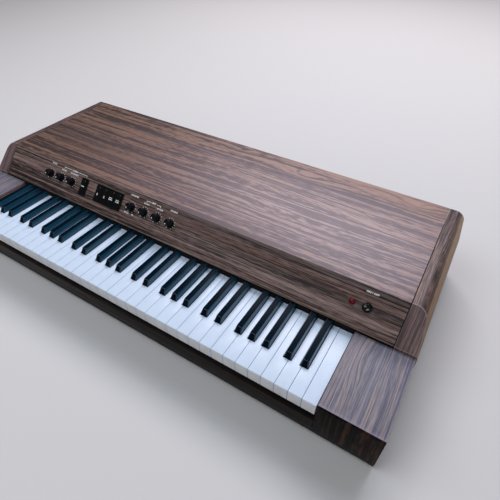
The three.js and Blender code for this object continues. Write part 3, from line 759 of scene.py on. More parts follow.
        # The cheek fronts' print is darkened as painted shade.
        front = WoodGrain(
            "printed_rosewood_front_painted_shade", UP, RIGHT, (0.475, -0.249, 0), PAINTED_SHADE_ROSEWOOD,
            fineness=0.8, seed=51.0, roughness=0.35, gloss=0.0, specular=0.04,
        )
        cheek_side = replace(cheek, name="printed_rosewood_cheek_side", across=UP, figures=(), tints=(),
                             tones=RED_ROSEWOOD, cool=0.2)
        mirrored = replace(cap, across=(-1, 0, -0.8), origin=(-0.5077, 0, 0.155))
        self.cap, self.cap_slope, self.cap_side = {}, {}, {}
        self.cheek, self.cheek_side, self.cheek_front = {}, {}, {}
        for wall, shift, top in (("right", 0.0, cap), ("left", 100.0, mirrored)):
            for store, finish in ((self.cap, top), (self.cap_slope, slope), (self.cap_side, side),
                                  (self.cheek, cheek), (self.cheek_side, cheek_side),
                                  (self.cheek_front, front)):
                name = f"{finish.name}_{wall}"
                store[wall] = replace(finish, name=name, seed=finish.seed + shift).build()
        # A pale line on the eased crease edges: a painted highlight.
        self.pale_edge = Plastic("painted_crease_highlight", (0.34, 0.26, 0.23), 0.4).build()
        # Near-black for the end caps' inner walls: a painted shadow in the gaps beside them.
        self.seam = Plastic("painted_seam_shadow", (0.012, 0.009, 0.009), 0.6).build()

    def _plastics(self) -> None:
        """Builds the moulded plastics and the prints on them."""
        self.ivory = Plastic("white_key_plastic", (0.61, 0.740, 0.92), 0.32, coat=0.03, gloss=0.3,
                             wear=0.015).build()
        # The key fronts take a greyer copy of the key plastic: painted light, for the light that falls on
        # them.
        self.ivory_front = Plastic("white_key_front_painted_light", (0.74, 0.77, 0.80), 0.5, wear=0.05).build()
        # Black key plastic with a faint navy tint, which is a painted reflection of blue surroundings.
        self.ebony = Plastic("black_key_plastic", (0.001, 0.007, 0.016), 0.26, gloss=0.02).build()
        # Teal-blue walls of the black keys: a painted reflection on the dark plastic.
        self.ebony_wall = Plastic("black_key_wall_painted_reflection", (0.012, 0.075, 0.130), 0.2, coat=0.3, gloss=0.5).build()
        # A grey line on the black keys' rounded top edges: a painted highlight.
        self.ebony_edge = Plastic("black_key_edge_painted_highlight", (0.075, 0.080, 0.095), 0.2, coat=0.5).build()
        self.black = Plastic("black_satin_plastic", (0.004, 0.005, 0.006), 0.36, grain=0.2,
                             gloss=0.16).build()
        self.knob_black = Plastic("black_knob_plastic", (0.003, 0.005, 0.009), 0.3, gloss=0.2).build()
        self.gloss_black = Plastic("black_gloss_plastic", (0.006, 0.007, 0.008), 0.14, coat=0.4).build()
        self.ring_black = Plastic("black_ring_plastic", (0.007, 0.008, 0.009), 0.3, gloss=0.35).build()
        self.lens = Plastic("red_lens_plastic", (0.13, 0.003, 0.009), 0.32, gloss=0.25).build()
        self.print_white = Plastic("white_print", (0.90, 0.89, 0.90), 0.6, wear=0.01).build()
        self.print_grey = Plastic("grey_print", (0.20, 0.22, 0.23), 0.5).build()

    def _others(self) -> None:
        """Builds the metals, the felt, the rubber, the boards and the bare wood."""
        self.steel = Metal("brushed_steel", (0.62, 0.63, 0.65), 0.34).build()
        self.nickel = Metal("nickel_plate", (0.7, 0.69, 0.66), 0.2, (1.0, 1.0, 1.0)).build()
        self.felt = Fibre("black_felt", (0.003, 0.004, 0.006), 0.95, 2500.0, 0.3 * MM).build()
        self.rubber = Fibre("black_rubber", (0.014, 0.014, 0.015), 0.8, 1200.0, 0.08 * MM).build()
        self.board = Fibre("black_painted_board", (0.018, 0.018, 0.020), 0.62, 700.0, 0.12 * MM).build()
        self.beech = WoodGrain(
            "bare_beech", RIGHT, (0, 1, 0.6), ORIGIN, BEECH, contrast=0.6, wander=4 * MM, lines=0.1,
            cool=0.0, seed=71.0, roughness=0.6, gloss=0.0,
        ).build()
        self.circuit = Circuit("green_circuit_board").build()


def spread(first: float, last: float, count: int) -> list[float]:
    """Returns evenly spaced values from the first to the last."""
    return [first + (last - first) * index / (count - 1) for index in range(count)]


def ends(low: float, high: float, inset: float) -> tuple[float, float]:
    """Returns the two places that stand in from the ends of a span."""
    return low + inset, high - inset


def sharp_edges(bm: bmesh.types.BMesh, degrees: float = 30.0) -> list[bmesh.types.BMEdge]:
    """Returns the edges whose two faces turn by more than an angle."""
    return [edge for edge in bm.edges
            if edge.is_manifold and edge.calc_face_angle() > math.radians(degrees)]


def round_edges(bm: bmesh.types.BMesh, edges: Iterable[bmesh.types.BMEdge], width: float,
                segments: int = 3) -> None:
    """Rounds edges with a bevel.

    Args:
        bm: The mesh.
        edges: The edges to round.
        width: How far the round reaches on each face.
        segments: The facets of the round.
    """
    bmesh.ops.bevel(bm, geom=list(edges), offset=width, offset_type="OFFSET", segments=segments,
                    profile=0.5, affect="EDGES", clamp_overlap=True, material=-1)


def block(low: Sequence[float], high: Sequence[float]) -> bmesh.types.BMesh:
    """Makes a block.

    Args:
        low: Its corner with the smallest coordinates.
        high: Its corner with the largest ones.

    Returns:
        The mesh.
    """
    bm = bmesh.new()
    size = Vector(high) - Vector(low)
    middle = (Vector(high) + Vector(low)) / 2
    bmesh.ops.create_cube(bm, size=1.0, matrix=Matrix.Translation(middle) @ Matrix.Diagonal((*size, 1.0)))
    return bm


def cut_away(bm: bmesh.types.BMesh, point: Vector, normal: Vector) -> None:
    """Cuts off what lies on one side of a plane and closes the cut.

    Args:
        bm: The mesh.
        point: A point of the plane.
        normal: The plane's normal, which points to the part that goes.
    """
    geometry = [*bm.verts, *bm.edges, *bm.faces]
    cut = bmesh.ops.bisect_plane(bm, geom=geometry, dist=SAME_PLANE, plane_co=point, plane_no=normal,
                                 clear_outer=True)
    rim = [item for item in cut["geom_cut"] if isinstance(item, bmesh.types.BMEdge)]
    bmesh.ops.contextual_create(bm, geom=rim)
    open_edges = [edge for edge in bm.edges if edge.is_boundary]
    if open_edges:
        bmesh.ops.holes_fill(bm, edges=open_edges, sides=0)
    bmesh.ops.recalc_face_normals(bm, faces=bm.faces)


def copy_of(node: str) -> bmesh.types.BMesh:
    """Copies a CAD node's mesh.

    Args:
        node: The node's name.

    Returns:
        The copy, with its vertices merged and its flat faces whole.
    """
    bm = bmesh.new()
    bm.from_mesh(bpy.data.objects[node].data)
    bmesh.ops.remove_doubles(bm, verts=bm.verts, dist=SAME_POINT)
    bmesh.ops.dissolve_limit(bm, angle_limit=FLAT_TURN, verts=bm.verts, edges=bm.edges)
    return bm


def eased(node: str, width: float, segments: int = 2) -> bmesh.types.BMesh:
    """Copies a CAD node's mesh and rounds its sharp edges.

    Args:
        node: The node's name.
        width: How far the round reaches on each face.
        segments: The facets of the round.

    Returns:
        The copy.
    """
    bm = copy_of(node)
    round_edges(bm, sharp_edges(bm), width, segments)
    return bm


def turned(profile: Profile, place: Matrix, steps: int = 48) -> bmesh.types.BMesh:
    """Spins a profile about its own Z axis.

    Args:
        profile: Radius and height of each point in mm, from the axis or closing on itself.
        place: The frame of the spin axis.
        steps: The facets of a full turn.

    Returns:
        The closed mesh, in place.
    """
    bm = bmesh.new()
    points = [bm.verts.new((radius * MM, 0.0, height * MM)) for radius, height in profile]
    chain = [bm.edges.new(pair) for pair in zip(points, points[1:])]
    bmesh.ops.spin(bm, geom=[*points, *chain], cent=ORIGIN, axis=UP, angle=2 * math.pi, steps=steps,
                   use_merge=True)
    bmesh.ops.remove_doubles(bm, verts=bm.verts, dist=SAME_POINT)
    bmesh.ops.recalc_face_normals(bm, faces=bm.faces)
    bmesh.ops.transform(bm, matrix=place, verts=bm.verts)
    return bm


def merged(meshes: Iterable[bmesh.types.BMesh]) -> bmesh.types.BMesh:
    """Joins meshes.

    Args:
        meshes: The meshes, which are freed.

    Returns:
        One mesh with all of them.
    """
    whole = bmesh.new()
    for bm in meshes:
        holder = bpy.data.meshes.new("part")
        bm.to_mesh(holder)
        bm.free()
        whole.from_mesh(holder)
        bpy.data.meshes.remove(holder)
    return whole


def words(text: str, width: float, height: float, place: Matrix) -> bmesh.types.BMesh:
    """Makes heavy print as a thin raised mesh.

    Args:
        text: The characters.
        width: The width that they are drawn to.
        height: The height that they are drawn to.
        place: The frame whose XY plane carries them, centred.

    Returns:
        The mesh, in place.
    """
    curve = bpy.data.curves.new("words", "FONT")
    curve.body = text
    curve.offset = PRINT_WEIGHT
    curve.extrude = 1.0
    curve.resolution_u = PRINT_FACETS
    holder = bpy.data.objects.new("words", curve)
    bpy.context.scene.collection.objects.link(holder)
    bpy.context.view_layer.update()
    mesh = bpy.data.meshes.new_from_object(holder.evaluated_get(bpy.context.evaluated_depsgraph_get()))
    bpy.data.objects.remove(holder)
    bpy.data.curves.remove(curve)
    bm = bmesh.new()
    bm.from_mesh(mesh)
    bpy.data.meshes.remove(mesh)
    bmesh.ops.remove_doubles(bm, verts=bm.verts, dist=SAME_PLANE)
    low = Vector(min(vert.co[axis] for vert in bm.verts) for axis in range(3))
    high = Vector(max(vert.co[axis] for vert in bm.verts) for axis in range(3))
    fit = Matrix.Diagonal((width / (high.x - low.x), height / (high.y - low.y), PRINT_HEIGHT, 1.0))
    bmesh.ops.transform(bm, matrix=place @ fit @ Matrix.Translation((low + high) / -2), verts=bm.verts)
    return bm


def finished(name: str, bm: bmesh.types.BMesh, material: bpy.types.Material, slot: Slot,
             body: str = CABINET, replaces: Sequence[str] = (), smooth: float = 35.0) -> bpy.types.Object:
    """Makes a mesh a piece of the instrument.

    Args:
        name: The piece's name.
        bm: Its mesh, which is freed.
        material: Its finish.
        slot: The record's slot that the finish stands for; not used.
        body: The CAD body that it rides on.
        replaces: The CAD nodes that it stands for.
        smooth: The angle in degrees up to which edges are shaded smooth.

    Returns:
        The piece.
    """
    mesh = bpy.data.meshes.new(name)
    bm.to_mesh(mesh)
    bm.free()
    mesh.materials.append(material)
    mesh.shade_smooth()
    mesh.set_sharp_from_angle(angle=math.radians(smooth))
    piece = bpy.data.objects.new(name, mesh)
    bpy.context.scene.collection.objects.link(piece)
    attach(piece, body)
    if replaces:
        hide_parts(*replaces)
    LOG.info("%s rides on %s, %d faces", name, body, len(mesh.polygons))
    return piece


def facing(way: Triple, share: float, both: bool = False) -> FaceTest:
    """Makes a test for the faces that look a way.

    Args:
        way: The direction.
        share: How much of a face's normal has to lie along it.
        both: Whether faces that look the opposite way pass too.

    Returns:
        The test.
    """
    def passes(polygon: bpy.types.MeshPolygon) -> bool:
        """Says whether a face passes."""
        along = polygon.normal.dot(Vector(way))
        return (abs(along) if both else along) > share

    return passes


def paint(piece: bpy.types.Object, material: bpy.types.Material, chosen: FaceTest) -> None:
    """Gives some of a piece's faces another finish.

    Args:
        piece: The piece.
        material: The other finish.
        chosen: Says whether a face takes it.
    """
    piece.data.materials.append(material)
    index = len(piece.data.materials) - 1
    for face in piece.data.polygons:
        if chosen(face):
            face.material_index = index


def dress(material: bpy.types.Material, *nodes: str) -> None:
    """Gives CAD nodes that keep their shape a finish.

    Args:
        material: The finish.
        nodes: The nodes' names.
    """
    for node in nodes:
        materials = bpy.data.objects[node].data.materials
        materials.clear()
        materials.append(material)


@dataclass(frozen=True)
class Screw:
    """A round screw head with a cross recess; its radius is in mm and the rest in shares of it."""

    radius: float
    tall: float = 0.45
    dome: Profile = ((0, 0), (1, 0), (0.94, 0.5), (0.6, 0.9), (0, 1))
    recess: float = 0.9
    arm: float = 0.55
    slot: float = 0.11
    depth: float = 0.14

    def head(self, place: Matrix) -> bmesh.types.BMesh:
        """Makes one head.

        Args:
            place: The frame whose XY plane it stands on.

        Returns:
            The mesh, in place.
        """
        height = self.tall * self.radius
        dome = [(wide * self.radius, up * height) for wide, up in self.dome]
        head = turned(dome, Matrix(), steps=20)
        for along, wide in ((self.arm, self.slot), (self.slot, self.arm)):
            walls = bmesh.ops.create_cube(head, size=1.0)["verts"]
            size = Vector((2 * along, 2 * wide, self.depth)) * (self.radius * MM)
            lift = Matrix.Translation((0, 0, self.recess * height * MM))
            bmesh.ops.transform(head, matrix=lift @ Matrix.Diagonal((*size, 1.0)), verts=walls)
        bmesh.ops.transform(head, matrix=place, verts=head.verts)
        return head


@dataclass
class Cabinet:
    """The wooden case: top, panel, rounded ends, cheek blocks, slip, boards and feet.

    An inset is how far screws stand in from the ends of what they hold: along X first, then along Z. The
    base's rows stand in from its front edge, before its middle and in from its rear edge. The foot's
    profile is in shares of its radius and height, and the ring's in mm.
    """

    finishes: Finishes
    edge: float = 0.5 * MM
    hole_edge: float = 0.25 * MM
    cap_edge: float = 0.8 * MM
    crest_reach: float = 0.6 * MM
    crest_rise: float = 0.25
    crest_turn: float = 0.99
    shoulder: float = 20 * MM
    shoulder_facets: int = 14
    slant: float = math.pi / 20
    side_break: float = 88 * MM
    cheek_round: float = 5 * MM
    cheek_facets: int = 8
    foot_hollow: float = 0.45
    foot: Profile = ((0, 0.45), (0.3, 0.45), (0.34, 0), (0.85, 0), (0.9, 0.05), (1, 0.5), (1, 0.92),
                     (0.97, 1), (0, 1))
    plate_lip: float = 2.5 * MM
    plate_depth: float = 6 * MM
    jack_pitch: float = 40 * MM
    ring: Profile = ((3, -1), (5.6, -1), (5.6, 0.2), (5, 0.8), (3.6, 0.8), (3, 0.2), (3, -1))
    number_size: tuple[float, float] = (2.2 * MM, 3.6 * MM)
    number_drop: float = 5 * MM
    pin_height: float = 2 * MM
    pin_reach: float = 9 * MM
    pin_depths: tuple[float, float] = (5 * MM, 18 * MM)
    panel_inset: tuple[float, float] = (20 * MM, 10 * MM)
    panel_columns: int = 7
    plate_inset: float = 6 * MM
    inlet_inset: float = 2.4 * MM
    base_inset: float = 26 * MM
    base_columns: int = 6
    base_rows: Triple = (12 * MM, 40 * MM, 14 * MM)
    board_screw: Screw = Screw(3.6)
    fitting_screw: Screw = Screw(1.7)
    foot_screw: Screw = Screw(4.0)

    def build(self) -> None:
        """Builds and dresses every piece of the case."""
        self.top()
        self.control_panel()
        for side, sign in (("right", 1), ("left", -1)):
            self.end_cap(side, sign)
            self.cheek_block(side)
        self.boards()
        self.feet()
        self.socket_plate()
        self.mains_inlet()
        self.screws()

    def top(self) -> None:
        """Builds the lid board, mitred along the crease where it meets the panel."""
        low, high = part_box("top_cover")
        bm = block((low.x, PANEL.crease.y, low.z), high)
        fold = (math.pi - PANEL.angle) / 2
        cut_away(bm, PANEL.crease, Vector((0, -math.sin(fold), -math.cos(fold))))
        round_edges(bm, sharp_edges(bm), self.edge)
        board = finished("lid_board", bm, self.finishes.top, Slot.CASE, replaces=["top_cover"])
        # The lid's eased crease edge takes a painted highlight.
        paint(board, self.finishes.pale_edge, self._on_crest)

    def _on_crest(self, polygon: bpy.types.MeshPolygon) -> bool:
        """Says whether a face belongs to the eased edge above the panel's slope, where a highlight is
        painted.

        Args:
            polygon: The face.

        Returns:
            True if it lies near the slope's plane and neither in it nor upright.
        """
        near = abs((polygon.center - PANEL.foot).dot(PANEL.outward)) < self.crest_reach
        turned_off = polygon.normal.dot(PANEL.outward) < self.crest_turn
        return near and turned_off and polygon.normal.z > self.crest_rise

    def control_panel(self) -> None:
        """Builds the sloped panel with its holes, square along the crease."""
        bm = copy_of("control_panel")
        edges = [edge for edge in sharp_edges(bm)
                 if max((vert.co - PANEL.crease).yz.length for vert in edge.verts) > MM]
        round_edges(bm, edges, self.hole_edge, segments=2)
        finished("sloped_panel", bm, self.finishes.panel, Slot.PANEL, replaces=["control_panel"])

    def end_cap(self, side: str, sign: int) -> None:
        """Builds a rounded end, cut off along the panel's slope.

        Args:
            side: left or right.
            sign: 1 on the right and -1 on the left.
        """
        low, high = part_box(f"{side}_end_cap")
        bm = block(low, high)
        geometry = [*bm.verts, *bm.edges, *bm.faces]
        bmesh.ops.bisect_plane(bm, geom=geometry, dist=SAME_PLANE, plane_co=(0, 0, self.side_break),
                               plane_no=UP)
        outer = max(sign * low.x, sign * high.x)
        inset = (high.z - self.side_break) * math.tan(self.slant)
        corner = [vert for vert in bm.verts
                  if vert.co.z > high.z - MM and sign * vert.co.x > outer - MM]
        bmesh.ops.translate(bm, verts=corner, vec=(-sign * inset, 0, 0))
        edges = [edge for edge in bm.edges if all(vert in corner for vert in edge.verts)]
        reach = self.shoulder * math.tan((math.pi / 2 - self.slant) / 2)
        round_edges(bm, edges, reach, self.shoulder_facets)
        cut_away(bm, PANEL.foot, PANEL.outward)
        round_edges(bm, sharp_edges(bm), self.cap_edge)
        piece = finished(f"{side}_rounded_end", bm, self.finishes.cap[side], Slot.CASE,
                         replaces=[f"{side}_end_cap"])
        for finish, chosen in (
                # The outer side takes the tan print with its painted warm reflection.
                (self.finishes.cap_side[side], facing((sign, 0, 0), 0.72)),
                # The slope takes the lifted print as painted light.
                (self.finishes.cap_slope[side], facing(FRONT, 0.5)),
                (self.finishes.back_end, facing(BACK, 0.5)),
                # The crease takes a painted highlight.
                (self.finishes.pale_edge, self._on_crest),
                # The inner wall takes the near-black painted shadow.
                (self.finishes.seam, facing((-sign, 0, 0), 0.25))):
            paint(piece, finish, chosen)

    def cheek_block(self, side: str) -> None:
        """Builds the block beside the keys, with a rounded front edge.

        Args:
            side: left or right.
        """
        low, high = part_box(f"{side}_cheek_block")
        bm = block(low, high)
        front = [edge for edge in bm.edges
                 if all(vert.co.z > high.z - MM and vert.co.y < low.y + MM for vert in edge.verts)]
        round_edges(bm, front, self.cheek_round, self.cheek_facets)
        round_edges(bm, sharp_edges(bm), self.edge)
        piece = finished(f"{side}_cheek", bm, self.finishes.cheek[side], Slot.CASE,
                         replaces=[f"{side}_cheek_block"])
        paint(piece, self.finishes.cheek_side[side], facing(RIGHT, 0.8, both=True))
        # The cheek's front takes its print darkened as painted shade.
        paint(piece, self.finishes.cheek_front[side], facing(FRONT, 0.5))

    def boards(self) -> None:
        """Builds the slip and the outer boards with eased edges, and dresses the inner parts."""
        for node, name, material, slot in (
                ("key_slip", "front_slip", self.finishes.slip, Slot.PANEL),
                ("bottom_board", "base_board", self.finishes.board, Slot.BOARD),
                ("rear_panel", "back_board", self.finishes.board, Slot.BOARD)):
            finished(name, eased(node, self.edge), material, slot, replaces=[node])
        dress(self.finishes.felt, "nameboard_felt")
        dress(self.finishes.beech, "pivot_rail", "front_rail")
        dress(self.finishes.circuit, "main_circuit_board", "contact_board", "control_board")
        dress(self.finishes.steel, "pivot_shaft", "transformer")

    def feet(self) -> None:
        """Builds the four rubber feet, each with a hollow for its screw."""
        for place in ("front_left", "front_right", "rear_left", "rear_right"):
            low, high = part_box(f"{place}_foot")
            middle = (low + high) / 2
            wide = (high.x - low.x) / 2 / MM
            tall = (high.z - low.z) / MM
            profile = [(radius * wide, height * tall) for radius, height in self.foot]
            base = Matrix.Translation((middle.x, middle.y, low.z))
            finished(f"{place}_rubber_foot", turned(profile, base), self.finishes.rubber, Slot.RUBBER,
                     replaces=[f"{place}_foot"])
            recess = base @ Matrix.Translation((0, 0, self.foot_hollow * tall * MM)) @ FACING_DOWN
            finished(f"{place}_foot_screw", self.foot_screw.head(recess), self.finishes.steel, Slot.STEEL)

    def socket_plate(self) -> None:
        """Builds the steel plate of the jack sockets, with a ring nut and a number for each."""
        low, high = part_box("jack_plate")
        plate = finished("socket_plate", eased("jack_plate", self.hole_edge), self.finishes.steel,
                         Slot.STEEL, replaces=["jack_plate"])
        paint(plate, self.finishes.black, lambda polygon: polygon.center.y < high.y - self.plate_depth)
        line = (low.z + high.z) / 2
        middle = (low.x + high.x) / 2
        numbers = []
        for number, step in enumerate((-1, 0, 1), 1):
            x = middle + step * self.jack_pitch
            place = Matrix.Translation((x, high.y, line)) @ FACING_BACK
            finished(f"jack_ring_{number}", turned(self.ring, place, steps=36), self.finishes.nickel,
                     Slot.STEEL)
            above = Matrix.Translation((x, high.y - self.plate_lip, high.z - self.number_drop))
            numbers.append(words(str(number), *self.number_size, above @ FACING_BACK))
        finished("socket_numbers", merged(numbers), self.finishes.black, Slot.STEEL)

    def mains_inlet(self) -> None:
        """Builds the mains inlet with its bare pins."""
        low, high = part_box("power_inlet")
        inlet = finished("mains_inlet", eased("power_inlet", self.hole_edge), self.finishes.black,
                         Slot.PLASTIC, replaces=["power_inlet"])
        centre = (low + high) / 2
        near, far = self.pin_depths
        paint(inlet, self.finishes.nickel, lambda polygon: (
            abs(polygon.center.z - centre.z) < self.pin_height
            and abs(polygon.center.x - centre.x) < self.pin_reach
            and high.y - far < polygon.center.y < high.y - near))

    def screws(self) -> None:
        """Builds the screws of the rear panel, its fittings and the bottom board."""
        low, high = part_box("rear_panel")
        side, edge = self.panel_inset
        places = [(x, high.y, z) for x in spread(*ends(low.x, high.x, side), self.panel_columns)
                  for z in ends(low.z, high.z, edge)]
        self._heads("rear_panel_screws", self.board_screw, FACING_BACK, places)
        low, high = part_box("jack_plate")
        places = [(x, high.y - self.plate_lip, z) for x in ends(low.x, high.x, self.plate_inset)
                  for z in ends(low.z, high.z, self.plate_inset)]
        low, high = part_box("power_inlet")
        places += [(x, high.y, (low.z + high.z) / 2) for x in ends(low.x, high.x, self.inlet_inset)]
        self._heads("rear_fitting_screws", self.fitting_screw, FACING_BACK, places)
        low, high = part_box("bottom_board")
        front, middle, rear = self.base_rows
        rows = (low.y + front, (low.y + high.y) / 2 - middle, high.y - rear)
        columns = spread(*ends(low.x, high.x, self.base_inset), self.base_columns)
        places = [(x, y, low.z) for x in columns for y in rows]
        self._heads("bottom_board_screws", self.board_screw, FACING_DOWN, places)

    def _heads(self, name: str, screw: Screw, turn: Matrix, places: Iterable[Triple]) -> None:
        """Builds some screw heads as one piece.

        Args:
            name: The piece's name.
            screw: The kind of screw.
            turn: The way that the heads face.
            places: Where they stand.
        """
        heads = [screw.head(Matrix.Translation(place) @ turn) for place in places]
        finished(name, merged(heads), self.finishes.nickel, Slot.STEEL)


@dataclass
class Keyboard:
    """The 61 keys: each cap is its own piece, and each CAD body's tails are one more."""

    finishes: Finishes
    letters: str = "fgabcde"
    before_f: int = 3
    white_count: int = 36
    combed: int = 28
    last_comb: int = 4
    gap: float = 1 * MM
    fullness: float = 0.2 * MM
    cap_length: float = 152 * MM
    black_reach: float = 11 * MM
    near: float = 0.01 * MM
    front_round: float = 1.6 * MM
    white_edge: float = 0.55 * MM
    black_edge: float = 1.3 * MM
    black_shoulder: float = 7 * MM
    lit: Triple = (0.35, 0.6, 0.5)

    def __post_init__(self) -> None:
        """Works out the pitch from the first and last white keys."""
        last_low, last_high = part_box("key_f6")
        self.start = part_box("white_keys_f1_e2")[0].x - self.gap / 2
        self.pitch = (last_high.x + self.gap / 2 - self.start) / self.white_count
        self.front = last_low.y

    def build(self) -> None:
        """Builds every cap and tail."""
        blacks = [white for white in range(self.white_count - 1) if self._letter(white) not in "be"]
        for white in range(self.white_count):
            left = self.start + white * self.pitch
            self._white_cap(white, left, left + self.pitch)
        for white in blacks:
            self._black_cap(white, self.start + (white + 1) * self.pitch)
        for node in sorted({self._white_node(white) for white in range(self.white_count)}):
            self._tails(node, self.finishes.ivory, Slot.WHITE_KEY)
        for node in sorted({self._black_node(white) for white in blacks}):
            self._tails(node, self.finishes.ebony, Slot.BLACK_KEY)

    def _letter(self, white: int) -> str:
        """Returns a white key's letter."""
        return self.letters[white % len(self.letters)]

    def _octave(self, white: int) -> int:
        """Returns the number of the octave that a white key is in, which changes at each C."""
        return 1 + (white + self.before_f) // len(self.letters)

    def _comb(self, white: int) -> int:
        """Returns the number of the comb that holds a white key, counted from 1."""
        return min(white // len(self.letters) + 1, self.last_comb)

    def _note(self, white: int) -> str:
        """Returns a white key's letter and octave."""
        return f"{self._letter(white)}{self._octave(white)}"

    def _white_node(self, white: int) -> str:
        """Returns the CAD node that holds a white key.

        Args:
            white: The key's number from the left, counted from 0.

        Returns:
            The node's name.
        """
        if white > self.combed:
            return f"key_{self._note(white)}"
        comb = self._comb(white)
        end = "f" if comb == self.last_comb else "e"
        return f"white_keys_f{comb}_{end}{comb + 1}"

    def _black_node(self, white: int) -> str:
        """Returns the CAD node that holds the black key after a white key.

        Args:
            white: The white key's number from the left, counted from 0.

        Returns:
            The node's name.
        """
        if white >= self.combed:
            return f"key_{self._letter(white)}_sharp{self._octave(white)}"
        comb = self._comb(white)
        return f"black_keys_f{comb}_e{comb + 1}"

    def _front_part(self, node: str, left: float, right: float) -> bmesh.types.BMesh:
        """Copies the part of one key that shows.

        Args:
            node: The CAD node that holds the key.
            left: Where the key's own space starts in X.
            right: Where it ends.

        Returns:
            The mesh, closed at its rear.
        """
        bm = copy_of(node)
        cut_away(bm, Vector((0, self.front + self.cap_length, 0)), Vector(BACK))
        others = [vert for vert in bm.verts if not left < vert.co.x < right]
        bmesh.ops.delete(bm, geom=others, context="VERTS")
        return bm

    def _white_cap(self, white: int, left: float, right: float) -> None:
        """Builds a white key's cap, a little fuller than its solid and with rounded edges.

        Args:
            white: The key's number.
            left: Where its own space starts in X.
            right: Where it ends.
        """
        node = self._white_node(white)
        bm = self._front_part(node, left, right)
        for wall, way in ((left + self.gap / 2, -1), (right - self.gap / 2, 1)):
            outer = [vert for vert in bm.verts if abs(vert.co.x - wall) < self.gap / 10]
            bmesh.ops.translate(bm, verts=outer, vec=(way * self.fullness, 0, 0))
        top = max(vert.co.z for vert in bm.verts) - self.near
        front = min(vert.co.y for vert in bm.verts) + self.near
        lip = [edge for edge in bm.edges
               if all(vert.co.z > top and vert.co.y < front for vert in edge.verts)]
        round_edges(bm, lip, self.front_round, segments=6)
        round_edges(bm, sharp_edges(bm, degrees=40), self.white_edge)
        piece = finished(f"white_{self._note(white)}", bm, self.finishes.ivory, Slot.WHITE_KEY, body=node,
                         replaces=[node], smooth=40)
        # The fronts take the greyer copy of the key plastic as painted light.
        paint(piece, self.finishes.ivory_front, facing(FRONT, 0.8))

    def _black_cap(self, white: int, middle: float) -> None:
        """Builds a black key's cap with a rounded top, polished walls coloured with a painted reflection,
        and a painted highlight on its left and front top edges.

        Args:
            white: The number of the white key on its left.
            middle: The key's middle in X.
        """
        node = self._black_node(white)
        bm = self._front_part(node, middle - self.black_reach, middle + self.black_reach)
        top = max(vert.co.z for vert in bm.verts)
        upper = [edge for edge in sharp_edges(bm, degrees=20)
                 if sum(vert.co.z for vert in edge.verts) / 2 > top - self.black_shoulder]
        round_edges(bm, upper, self.black_edge, segments=5)
        piece = finished(f"black_{self._note(white)}", bm, self.finishes.ebony, Slot.BLACK_KEY, body=node,
                         replaces=[node], smooth=40)
        # The walls take the painted reflection.
        paint(piece, self.finishes.ebony_wall, facing(RIGHT, 0.8, both=True))
        # The rounded left and front top edges take the painted highlight.
        paint(piece, self.finishes.ebony_edge, self._catches_light)

    def _catches_light(self, polygon: bpy.types.MeshPolygon) -> bool:
        """Says whether a face is on a black key's rounded left or front top edge, which takes a painted
        highlight.
        """
        left, front, up = self.lit
        return polygon.normal.z > up and (polygon.normal.x < -left or polygon.normal.y < -front)

    def _tails(self, node: str, material: bpy.types.Material, slot: Slot) -> None:
        """Keeps the hidden rear part of a CAD node's keys, with their pivots.

        Args:
            node: The CAD node.
            material: The keys' finish.
            slot: The record's slot.
        """
        bm = copy_of(node)
        cut_away(bm, Vector((0, self.front + self.cap_length, 0)), Vector(FRONT))
        finished(f"{node}_tails", bm, material, slot, body=node)


